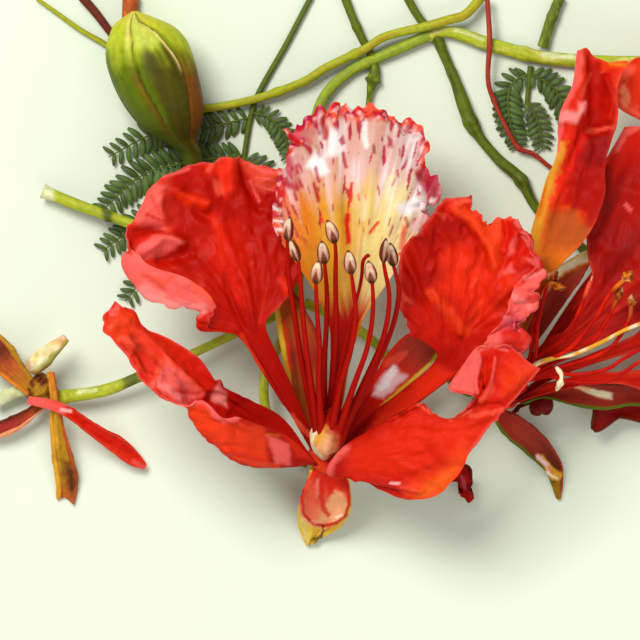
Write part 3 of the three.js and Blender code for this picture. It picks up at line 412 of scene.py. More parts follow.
finishes = {
    "petalSkin": {"veins": (46, 1.6), "veinDepth": 0.1, "mottle": 900, "mottleDepth": 0.08,
                  "roughness": 0.42, "gloss": 0.1, "translucent": 0.2, "relief": 0.0003},
    "speckledSkin": {"veins": (60, 1.8), "veinDepth": 0.08, "mottle": 1100, "mottleDepth": 0.06,
                     "roughness": 0.46, "gloss": 0.12, "translucent": 0.25, "relief": 0.0002},
    "sepalSkin": {"veins": (14, 1.4), "veinDepth": 0.16, "mottle": 1300, "mottleDepth": 0.1,
                  "roughness": 0.5, "gloss": 0.1, "translucent": 0.12, "relief": 0.0003},
    "filamentSkin": {"veins": (3, 30), "veinDepth": 0.2, "mottle": 1500, "mottleDepth": 0.15,
                     "roughness": 0.46, "gloss": 0.07, "translucent": 0.08, "relief": 0.0001},
    "budSkin": {"veins": (7, 3), "veinDepth": 0.2, "mottle": 700, "mottleDepth": 0.2,
                "roughness": 0.5, "gloss": 0.1, "translucent": 0, "relief": 0.0002},
    "stalkSkin": {"veins": (5, 9), "veinDepth": 0.26, "mottle": 1000, "mottleDepth": 0.24,
                  "roughness": 0.46, "gloss": 0.22, "translucent": 0, "relief": 0.00025},
    "witheredSkin": {"veins": (10, 3), "veinDepth": 0.3, "mottle": 800, "mottleDepth": 0.25,
                     "roughness": 0.6, "gloss": 0.2, "translucent": 0.06, "relief": 0.0005},
    "leafSkin": {"veins": (8, 2), "veinDepth": 0.2, "mottle": 500, "mottleDepth": 0.25,
                 "roughness": 0.5, "gloss": 0.3, "translucent": 0.12, "relief": 0.0002},
}


noiseForm = {"range": {"From Min": 0.3, "From Max": 0.7}, "bump": 0.5, "mottleHeight": 0.3,
             "brightening": 0.35, "roughnessSpread": (-0.06, 0.1)}


def finish(name):
    settings = finishes[name]
    material = bpy.data.materials.new(name)
    material.use_nodes = True
    tree = material.node_tree
    tree.nodes.clear()

    def node(kind, **values):
        new = tree.nodes.new(kind)
        for key, value in values.items():
            if key in new.inputs:
                new.inputs[key].default_value = value
            else:
                setattr(new, key, value)
        return new

    def spread(fac, low, high):
        ranged = node("ShaderNodeMapRange")
        for key, value in {**noiseForm["range"], "To Min": low, "To Max": high}.items():
            ranged.inputs[key].default_value = value
        tree.links.new(fac, ranged.inputs["Value"])
        return ranged.outputs["Result"]

    paint = node("ShaderNodeAttribute", attribute_name="paint")
    place = node("ShaderNodeUVMap", uv_map="UVMap")
    stretch = node("ShaderNodeMapping")
    stretch.inputs["Scale"].default_value = (*settings["veins"], 1)
    tree.links.new(place.outputs["UV"], stretch.inputs["Vector"])
    veins = node("ShaderNodeTexNoise", Scale=1.0, Detail=5.0, Roughness=0.62, Distortion=0.35)
    tree.links.new(stretch.outputs["Vector"], veins.inputs["Vector"])
    coords = node("ShaderNodeTexCoord")
    mottle = node("ShaderNodeTexNoise", Scale=settings["mottle"], Detail=3.0, Roughness=0.55)
    tree.links.new(coords.outputs["Object"], mottle.inputs["Vector"])

    def darkened(colour, fac, depth):
        shade = node("ShaderNodeMix", data_type="RGBA", blend_type="MULTIPLY")
        shade.inputs["Factor"].default_value = 1
        tree.links.new(colour, shade.inputs["A"])
        tree.links.new(spread(fac, 1 - depth, 1 + depth * noiseForm["brightening"]), shade.inputs["B"])
        return shade.outputs["Result"]

    colour = darkened(paint.outputs["Color"], veins.outputs["Fac"], settings["veinDepth"])
    colour = darkened(colour, mottle.outputs["Fac"], settings["mottleDepth"])

    bump = node("ShaderNodeBump", Strength=noiseForm["bump"], Distance=settings["relief"])
    height = node("ShaderNodeMath", operation="MULTIPLY_ADD")
    height.inputs[1].default_value = noiseForm["mottleHeight"]
    tree.links.new(mottle.outputs["Fac"], height.inputs[0])
    tree.links.new(veins.outputs["Fac"], height.inputs[2])
    tree.links.new(height.outputs["Value"], bump.inputs["Height"])

    skin = node("ShaderNodeBsdfPrincipled")
    skin.inputs["Specular IOR Level"].default_value = settings["gloss"]
    tree.links.new(colour, skin.inputs["Base Color"])
    low, high = (settings["roughness"] + share for share in noiseForm["roughnessSpread"])
    tree.links.new(spread(mottle.outputs["Fac"], low, high), skin.inputs["Roughness"])
    tree.links.new(bump.outputs["Normal"], skin.inputs["Normal"])
    surface = skin.outputs["BSDF"]
    if settings["translucent"]:
        through = node("ShaderNodeBsdfTranslucent")
        tree.links.new(colour, through.inputs["Color"])
        blend = node("ShaderNodeMixShader")
        blend.inputs["Fac"].default_value = settings["translucent"]
        tree.links.new(surface, blend.inputs[1])
        tree.links.new(through.outputs["BSDF"], blend.inputs[2])
        surface = blend.outputs["Shader"]
    output = node("ShaderNodeOutputMaterial")
    tree.links.new(surface, output.inputs["Surface"])
    return material


skins = {name: finish(name) for name in finishes}
print("finishes made:", len(skins))


def flameBase(points, across, along, rim, turn, out):
    # flame red: dark at the claw and in radial streaks, bright at the blade's foot, and pinker at the rim
    # as a painted highlight
    colours = shades(("deepRed", "deepRed", "red", "scarlet", "red", "red"), along)
    streak = wander(np.c_[turn * 16, out * 0.05, along * 0], 1, 4)
    broad = wander(points, 7, 5)
    colours = mixed(colours, "deepRed", 0.3 * smooth(0.05, 0.6, streak) + 0.5 * smooth(-0.1, 0.5, broad))
    colours = mixed(colours, "flame", 0.25 * smooth(0.1, 0.6, -streak) * smooth(0.25, 0.4, along))
    return mixed(colours, "pink", 0.45 * (1 - smooth(0.1, 0.8, rim)) * smooth(0.3, 0.45, along))


# The open bloom's upper petal: pale and speckled, with a yellow heart and a frilled crimson margin

upperPetal = {
    "angle": 90, "node": "main_standard", "grid": (170, 120), "length": 66, "blade": (0.5, 0.62),
    "fan": (5, 22), "seed": 3,
    "guides": [
        [(0.2, 10, 17.2), (1, 20, 22.6), (0.6, 27, 26.5), (-2.4, 33.5, 28.5), (-6.3, 39.5, 29.6),
         (-10, 45, 29.4), (-10.4, 50.8, 28.6), (-9.6, 57.6, 26.8), (-7, 62.2, 25.4), (-8.2, 65, 23.6)],
        [(1, 10, 16.9), (2, 20, 22), (2.3, 27, 25.6), (1.2, 33.5, 27.8), (-0.8, 40, 29), (-2.6, 46, 29.4),
         (-3, 52, 29.3), (-3, 58, 28), (-2.6, 63.5, 26), (-1.8, 69.2, 23)],
        [(1.8, 10, 16.8), (2.9, 20, 21.6), (4, 27, 25), (5, 33.5, 27.4), (5.2, 40, 28.8), (5.2, 46, 29.3),
         (5.2, 52, 29.4), (5.1, 58, 28.3), (4.9, 64.5, 25.8), (4.4, 70.9, 22.2)],
        [(2.5, 10, 16.9), (3.9, 20, 22), (5.7, 27, 25.6), (8.6, 33.8, 27.6), (10.6, 40.5, 28.8),
         (12.2, 46.3, 29.2), (13.4, 52, 29), (13.4, 58, 27.8), (12.6, 64, 25.8), (11.8, 69.6, 22.8)],
        [(3.2, 10, 17.2), (4.8, 20, 22.8), (7.6, 27.4, 27), (12.6, 35.4, 29), (15.8, 41.4, 29),
         (19.6, 46.8, 28.6), (23, 53, 28), (20.6, 58, 27), (20.4, 63, 25), (17.8, 67.5, 23)],
    ],
    "pulls": [
        pull(-5.6, 62.8, 1.9, (1.7, 0, -0.6)), pull(0.3, 69.4, 1.8, (0, -2, 0)),
        pull(16.8, 65.6, 1.6, (-1.4, -0.2, 0.6)), pull(19.6, 59.4, 2, (-1.5, 0, 0)),
        pull(21.6, 49.9, 1.5, (-3, 0, 0)), pull(14.6, 69.4, 1.4, (0, -0.8, 0)),
        pull(-11, 46.8, 0.8, (1.4, 0, 0)), pull(-10.8, 48.9, 0.7, (1.2, 0, 0)),
        pull(-9.6, 44, 0.8, (1.2, 0, 0)), pull(7.2, 70.4, 1.2, (0, -0.7, 0.4)),
    ],
    "teeth": [(64, 0.5, 1.6), (118, 0.4, 1.1), (31, 0.45, 2.5)],
    "ripples": [(13, 0.5, 14), (31, 0.4, 6), (62, 0.42, 3), (103, 0.2, 1.6)],
    "ridges": [
        ridge([(4.5, 36), (4.8, 66)], 1.3, -0.5), ridge([(-7.6, 60), (-4.4, 62.4), (-1.6, 61)], 0.9, 0.9),
        ridge([(-0.4, 67.4), (-0.2, 61)], 0.8, -0.8), ridge([(12.6, 35.2), (10, 31.4), (7, 27)], 0.8, 0.6),
        ridge([(17.6, 50.2), (21.6, 49.9)], 0.6, -0.9),
    ],
    "crinkle": [(3.5, 0.25), (1.4, 0.1)],
    "paint": [
        area([(-4, 58.4), (-2.2, 61.6), (-0.6, 60), (0.6, 57.4), (-1.4, 56.4)], 0.6, "white", 0.95),
        area([(0, 60.6), (3.2, 60), (3.4, 63), (2.4, 66), (0.8, 66)], 0.6, "white", 0.95),
        line([(8, 62.4), (7.7, 67)], 0.8, "white"),
        # painted highlight: the white patch and the white stroke beside it
        area([(14.4, 50.6), (17.6, 52), (19.6, 50.4), (17, 48.6), (15, 48.4)], 0.7, "white", 0.95),
        line([(15.6, 49.4), (18.4, 51)], 1.6, "white"), line([(17.4, 46), (19.6, 48)], 1.4, "blush"),
        line([(7.5, 48), (7.6, 52)], 1.1, "cream", 0.5), line([(12.6, 52), (12.8, 56)], 0.9, "cream", 0.6),
        line([(4.5, 43.2), (4.2, 48.6)], 0.75, "red", 1),
        line([(4.9, 51.5), (5.1, 54.8)], 0.5, "scarlet", 0.9),
        line([(4.3, 49.4), (4.5, 51.4)], 0.35, "red"),
        line([(-2.4, 54.9), (-1.6, 51.6)], 0.55, "deepRed", 0.9),
        line([(-2, 58), (-1.3, 55.4)], 0.5, "crimson", 0.85),
        line([(3.4, 61), (4, 58.2)], 0.5, "deepRed", 0.85),
        area([(2.4, 64), (3.6, 64.6), (4, 62.8), (2.8, 62.6)], 0.3, "crimson", 0.85),
        line([(8.9, 45), (10.4, 47.2)], 0.42, "scarlet", 0.9),
        line([(9.5, 62.6), (9.6, 61.2)], 0.42, "claret"),
        area([(12.2, 64.4), (13.4, 64), (13.4, 62), (12.4, 62.6)], 0.4, "crimson", 0.9),
        area([(-9.6, 57.6), (-6.4, 61.2), (-4.4, 59), (-5, 54.4), (-9, 53.4)], 1, "crimson", 0.4),
        area([(-7.8, 65.2), (-4, 67.6), (-1.6, 66), (-3.4, 62.8), (-6, 63.2)], 0.8, "crimson", 0.45),
        area([(17.8, 57.6), (20, 58.2), (23, 55.6), (22.8, 52), (20.4, 52.2), (18.6, 54.6)], 0.5, "crimson",
             0.85),
        line([(6.5, 52.6), (6.6, 51.6)], 0.3, "scarlet"),
        line([(7.9, 52.6), (7.9, 51.8)], 0.28, "flame", 0.6),
        line([(14.3, 57.6), (14.4, 56.4)], 0.32, "crimson"),
        line([(14.7, 61.8), (14.8, 60.8)], 0.3, "crimson", 0.7),
        line([(13.2, 54.6), (13.8, 56)], 0.28, "rose", 0.7),
        line([(-1, 48.2), (-0.6, 47.2)], 0.35, "flame", 0.9),
        line([(16, 48), (16.3, 46.4)], 0.42, "crimson", 0.85),
        line([(-5.8, 58.4), (-5.6, 57)], 0.5, "crimson"),
        line([(-8, 55), (-5.8, 54)], 0.9, "crimson", 0.85),
        line([(-7.6, 60), (-7.2, 56.8)], 0.6, "rose", 0.7),
        line([(-0.7, 68), (-0.2, 64.2)], 0.9, "deepRed", 0.85),
        line([(-2, 67.4), (-1.4, 65)], 0.5, "crimson", 0.7),
        line([(-6.4, 65.2), (-3.2, 63)], 0.7, "rose", 0.7), line([(-8.6, 58.6), (-8.2, 56.6)], 0.5, "grey"),
        line([(14.6, 67.6), (15, 66)], 0.7, "claret", 0.6),
        line([(18.6, 56.6), (20, 55.6)], 0.9, "claret", 0.6),
        line([(21.4, 54), (21.6, 52.6)], 0.8, "claret", 0.6),
        line([(-11.8, 47.6), (-8.6, 47.3)], 0.32, "white", 0.9),
        line([(-10.8, 45.9), (-7.4, 45.4)], 0.34, "white", 0.9),
        line([(-10.6, 50.2), (-9, 49.4)], 0.36, "white"),
        line([(-11.6, 48.5), (-8.8, 48.4)], 0.34, "crimson"), line([(-9.8, 44.2), (-8, 44)], 0.4, "coral"),
        line([(15.2, 42), (15.6, 46)], 0.9, "coral", 0.7), line([(14.6, 40.6), (16, 41)], 0.6, "scarlet"),
        line([(14.6, 38), (15.2, 40)], 0.7, "blush"),
    ],
}


def speckledBase(points, across, along, rim, turn, out):
    x, y = points[:, 0], points[:, 1]
    streak = wander(np.c_[turn * 13, out * 0.05, x * 0], 1, 9)
    fine = wander(np.c_[turn * 46, out * 0.1, x * 0], 1, 11)
    fleck = wander(np.c_[turn * 52, out * 0.34, x * 0], 1, 15)
    heart = mixed("orange", "gold", smooth(-6, 2, x + streak * 3))
    heart = mixed(heart, "straw", smooth(2, 10, x + streak * 4))
    heart = mixed(heart, "dusk", 0.55 * smooth(50, 58, y) * smooth(6, -2, x))
    heart = mixed(heart, "cream",
                  0.55 * smooth(0.1, 0.5, fine) * smooth(4, 8, x) + 0.35 * smooth(10, 14, x))
    pale = mixed("dusk", "blush", smooth(-0.35, 0.3, streak + 0.5 * fine))
    pale = mixed(pale, "grey", 0.7 * smooth(10, 16, x))
    pale = mixed(pale, "white", 0.5 * smooth(0.1, 0.45, fine + 0.4 * streak))
    pale = mixed(pale, "dusk", 0.75 * smooth(3, 5, x) * smooth(14, 10, x) * smooth(56, 62, y))
    colours = mixed(heart, pale,
                    smooth(27, 39, out + streak * 6 + fine * 3 + 3 * smooth(8, 16, np.abs(x - 5))))
    near = np.maximum(smooth(10, 2, rim), smooth(-3, -6, x) * smooth(51, 54, y))
    colours = mixed(colours, "crimson",
                    0.92 * smooth(0, 0.09, fleck - 0.47 + 0.24 * near) * smooth(40, 47, y))
    margin = 1.2 + 1.3 * wander(np.c_[turn * 10, x * 0, x * 0], 1, 6) + 1.2 * smooth(60, 68, y)
    band = 1 - smooth(-1.1, 1.5, rim - margin + 1.4 * fine + streak)
    red = mixed("coral", "crimson", smooth(-0.12, 0.2, wander(points, 1.4, 8)))
    red = mixed(red, "red", smooth(0.05, 0.4, wander(points, 1.9, 3)))
    red = mixed(red, "blush", 0.75 * smooth(0.2, 0.4, wander(points, 1, 5)))
    colours = mixed(colours, red, band * smooth(0.5, 0.62, along) * smooth(38, 44, y))
    claw = mixed("deepRed", "red", smooth(0.1, 0.4, along))
    claw = mixed(claw, "orange", smooth(0.72, 0.95, across))
    return mixed(claw, colours, smooth(28, 35, y + streak * 2 + 1.5 * np.abs(across)))


upperPetal["base"] = speckledBase
addPetal("speckledPetal", mainFrame, upperPetal, "speckledSkin", "speckled_petal")
print("speckled petal made")


# The open bloom's two wings. The lower margin of each is turned over towards the front.

leftWing = {
    "angle": 153, "node": "main_wing_left", "grid": (150, 130), "length": 62, "blade": (0.24, 0.36),
    "fan": (-13, 25), "seed": 5,
    "guides": [
        [(-7.2, 9.3, 19.8), (-12.1, 17.6, 24), (-17.3, 24.8, 26.6), (-23.6, 25.9, 28.6), (-22, 30.6, 31.4),
         (-25.8, 34.8, 32.4), (-30.4, 37.1, 32.6), (-35.6, 39.2, 32.6), (-39.4, 44, 31.6),
         (-37.4, 50, 28.8), (-33.6, 55.6, 26.8), (-28.4, 58, 24.8)],
        [(-7.3, 9, 19.6), (-12.5, 17.2, 23.6), (-17.8, 24.9, 26.2), (-25, 25.6, 28), (-25.4, 29.2, 29.6),
         (-31, 30, 30.4), (-36.4, 32.4, 30.8), (-39.9, 38.4, 30.6), (-37.2, 44.6, 29.6),
         (-35.4, 50.2, 28.4), (-31.4, 55.4, 26.8), (-27, 58.6, 25)],
        [(-6.7, 9, 19.2), (-11.2, 17.4, 23), (-15.9, 25.1, 25.4), (-19.4, 26.8, 26.4), (-20.4, 30.2, 27),
         (-24, 33.4, 27.4), (-28, 36.6, 27.6), (-31.4, 41, 27.4), (-31.6, 45, 27), (-30, 49.8, 26.4),
         (-27.5, 54.5, 25.6), (-24, 59.4, 24.4)],
        [(-6, 9, 19), (-10.3, 17.5, 22.8), (-14.6, 25.3, 25.1), (-16, 28, 25.7), (-17, 31.4, 26),
         (-18.9, 35, 26.2), (-20.6, 38.7, 26.2), (-21.7, 42.5, 26), (-22.3, 46.2, 25.8), (-22, 50.5, 25.4),
         (-21.2, 55.2, 24.8), (-19.8, 60.1, 24.2)],
        [(-5.3, 9, 19.1), (-9.3, 17.5, 22.9), (-13.2, 25.3, 25), (-13.6, 28.2, 25.2), (-13, 31, 25.2),
         (-13, 34.3, 25), (-13, 37.8, 24.8), (-13.5, 41.5, 24.6), (-14.2, 45.5, 24.4), (-14.7, 49.8, 24),
         (-15.2, 54.6, 23.4), (-15.4, 59.2, 22.8)],
        [(-4.6, 9, 19.3), (-8.4, 17.5, 23.2), (-11.9, 25.2, 25.4), (-11.7, 28, 25.4), (-9.6, 30, 25),
         (-6.8, 33.2, 24.4), (-5, 36.8, 23.8), (-6, 40, 23.4), (-8, 43, 23), (-8.4, 47.6, 22.6),
         (-8, 52.6, 22.2), (-9, 57.6, 22)],
    ],
    "pulls": [
        pull(-22.4, 59.7, 0.9, (0, -0.6, 0.2)),
        pull(-17, 60, 1.2, (0.2, 0.5, 0.4)), pull(-39.6, 41.2, 1.4, (0.8, 0, 0.6), (-1, -0.5)),
        pull(-38.8, 46.4, 1, (-0.5, 0, 0.4)), pull(-24.2, 28.2, 1.4, (-0.8, 0, 0.6), (-1, -0.6)),
    ],
    "teeth": [(26, 0.16, 2), (55, 0.14, 1.4)],
    "ripples": [(7, 0.5, 14), (15, 0.22, 8), (34, 0.15, 4)],
    "creases": [(5, 0.7), (2.3, 0.35)],
    "ridges": [
        ridge([(-30, 53.6), (-27.2, 51.6), (-24, 50.4)], 1.1, 1.3),
        ridge([(-28, 51), (-24, 48.4)], 1.2, -0.8), ridge([(-17, 59.6), (-15.4, 55), (-13, 50)], 1.1, -1.5),
        ridge([(-19.4, 59.6), (-19, 54)], 1.4, 1.1),
        ridge([(-37, 41), (-33, 44), (-29, 43.6)], 1.3, 1.5), ridge([(-33, 39.8), (-27, 41)], 1.4, -1.5),
        ridge([(-38.6, 45), (-32.4, 46)], 1, -1.1),
        ridge([(-37, 47.8), (-32.4, 46.8), (-33.6, 52)], 1, 0.9),
        ridge([(-16.4, 26), (-18.6, 31), (-20.4, 36.4)], 0.7, -0.7),
        ridge([(-14.6, 26), (-15.4, 33), (-17, 40)], 0.8, 0.5),
        ridge([(-22.6, 56.6), (-21.4, 52.6)], 0.9, 0.7), ridge([(-10, 56.4), (-14, 55)], 0.6, 0.5),
        ridge([(-10, 54.6), (-14.4, 53)], 0.6, -0.5), ridge([(-8.4, 35), (-7, 31.6)], 1, 0.6),
        ridge([(-35.6, 36), (-32.6, 33.4)], 0.8, 0.6, (-1, -0.5)),
        ridge([(-31.4, 36.4), (-29.6, 33)], 0.8, 0.5, (-1, -0.5)),
        ridge([(-27, 34), (-26.6, 31)], 0.8, 0.4, (-1, -0.5)),
    ],
    "crinkle": [(6, 0.5), (2.6, 0.25), (1.1, 0.08)],
    # Much of this paint is painted light: the pink, coral and scarlet patches on the left part, on the
    # folds and along the turned-over margin are painted highlights, and the deep red patches in the folds'
    # hollows are painted shade.
    "paint": [
        area([(-32, 58), (-31, 41), (-26, 37), (-22, 30), (-15, 26), (-4, 34), (-8, 56), (-22, 56)], 1.6,
             "deepRed", 0.85),
        area([(-24, 42), (-18, 31), (-15, 30), (-16, 41), (-18, 48), (-23, 48)], 2, "red", 0.9),
        area([(-36, 57), (-31, 57), (-31, 45), (-38, 46)], 1.2, "coral", 0.35),
        area([(-32, 41), (-25, 39), (-25, 33), (-30, 36.6)], 1.6, "deepRed"),
        area([(-33, 55.6), (-27, 58), (-25.6, 53), (-27, 47), (-33, 46)], 1.4, "deepRed", 0.55),
        # painted shadow: the dark triangle in the hollow beside the lit panel
        area([(-17, 59), (-13.4, 50), (-20, 48), (-19.6, 55)], 1, "deepRed", 0.85),
        # painted shade: the dark wedge under the pink fold
        area([(-33.4, 40.2), (-26.6, 42.4), (-24, 38), (-29, 37.6)], 0.5, "deepRed", 0.95),
        # painted shade in the crease below that fold
        area([(-39.6, 43.6), (-38.6, 46.6), (-32.6, 46), (-34, 44.8)], 0.5, "deepRed", 0.85),
        # painted highlight: the lit pink fold
        area([(-39, 40.2), (-37.6, 42.6), (-34, 44.6), (-31, 44.6), (-28.2, 43.2), (-29.8, 41.8),
              (-34, 40.2), (-36.4, 39.2)], 0.45, "pink", 0.95),
        area([(-38.6, 47.4), (-32, 45.6), (-33, 50), (-32.4, 54.6), (-34.6, 55), (-37.8, 50.4)], 0.7,
             "pink"),
        line([(-36, 48.6), (-32.4, 47.4)], 0.5, "red", 0.7),
        line([(-35, 52.4), (-33.4, 49)], 0.5, "scarlet", 0.6),
        line([(-32.6, 56.6), (-27.6, 58)], 0.6, "pink", 0.6),
        # painted highlight: the lit crest of the U-shaped fold
        area([(-31, 53.6), (-28.4, 50.8), (-24, 49.6), (-23.2, 51.6), (-27, 53)], 0.5, "scarlet", 0.95),
        # painted highlight: the lit raised panel
        area([(-22.2, 57), (-21, 59.8), (-17.6, 60.2), (-18.4, 54), (-20.4, 52)], 0.8, "scarlet", 0.85),
        area([(-22.8, 56), (-21.2, 55.6), (-20.2, 52.8), (-21.8, 52.4)], 0.5, "coral"),
        line([(-23.6, 57.6), (-22.4, 59.6)], 0.7, "coral", 0.7),
        line([(-22.6, 48.6), (-21, 44), (-20.6, 39)], 0.9, "scarlet", 0.5),
        area([(-17, 59.4), (-9, 57.8), (-10, 54), (-13.6, 53.4), (-15.4, 56)], 0.7, "coral", 0.6),
        line([(-9.4, 57), (-12.4, 57.6), (-15, 58.6)], 0.5, "pink"),
        line([(-10, 55.6), (-14, 56.2)], 0.35, "pink", 0.6),
        line([(-10.6, 53.6), (-14, 54.6)], 0.35, "pink", 0.5),
        line([(-15.4, 55.6), (-13.4, 51.4)], 0.4, "pink", 0.7),
        line([(-8.6, 35.6), (-7, 31.2)], 1.1, "scarlet"),
        line([(-16, 26), (-18.4, 31), (-20.4, 36.4)], 0.5, "claret", 0.5),
        line([(-14.8, 26), (-16, 32), (-18, 38)], 0.35, "claret", 0.4),
        line([(-13.4, 27), (-12, 34)], 0.4, "scarlet", 0.4),
        line([(-7, 8.5), (-3.5, 4.5)], 0.7, "coral", 0.9),
        line([(-12.6, 17.4), (-16.8, 24.6)], 0.5, "flame", 0.6),
        # the turned-over margin: its paler back, made pinker still as a painted highlight
        area([(-21.6, 30.4), (-22.6, 32.6), (-26, 35.6), (-30, 37.4), (-36, 39.6), (-41, 41), (-41, 36),
              (-36, 31), (-30, 29), (-25, 28.6)],
             0.35, "pink", 0.95, (-1, -0.52)),
        line([(-24.8, 29.8), (-31, 30.6), (-36.2, 33.4)], 1.7, "palePink", 0.85, (-1, -0.52)),
        line([(-22.6, 31.6), (-26.4, 35)], 0.9, "coral", 0.9, (-1, -0.6)),
        line([(-36.6, 36.8), (-33, 35.6)], 0.6, "coral", 0.9, (-1, -0.5)),
        line([(-33, 34.4), (-30.6, 36.4)], 0.6, "coral", 0.8, (-1, -0.5)),
    ],
    "base": flameBase,
}

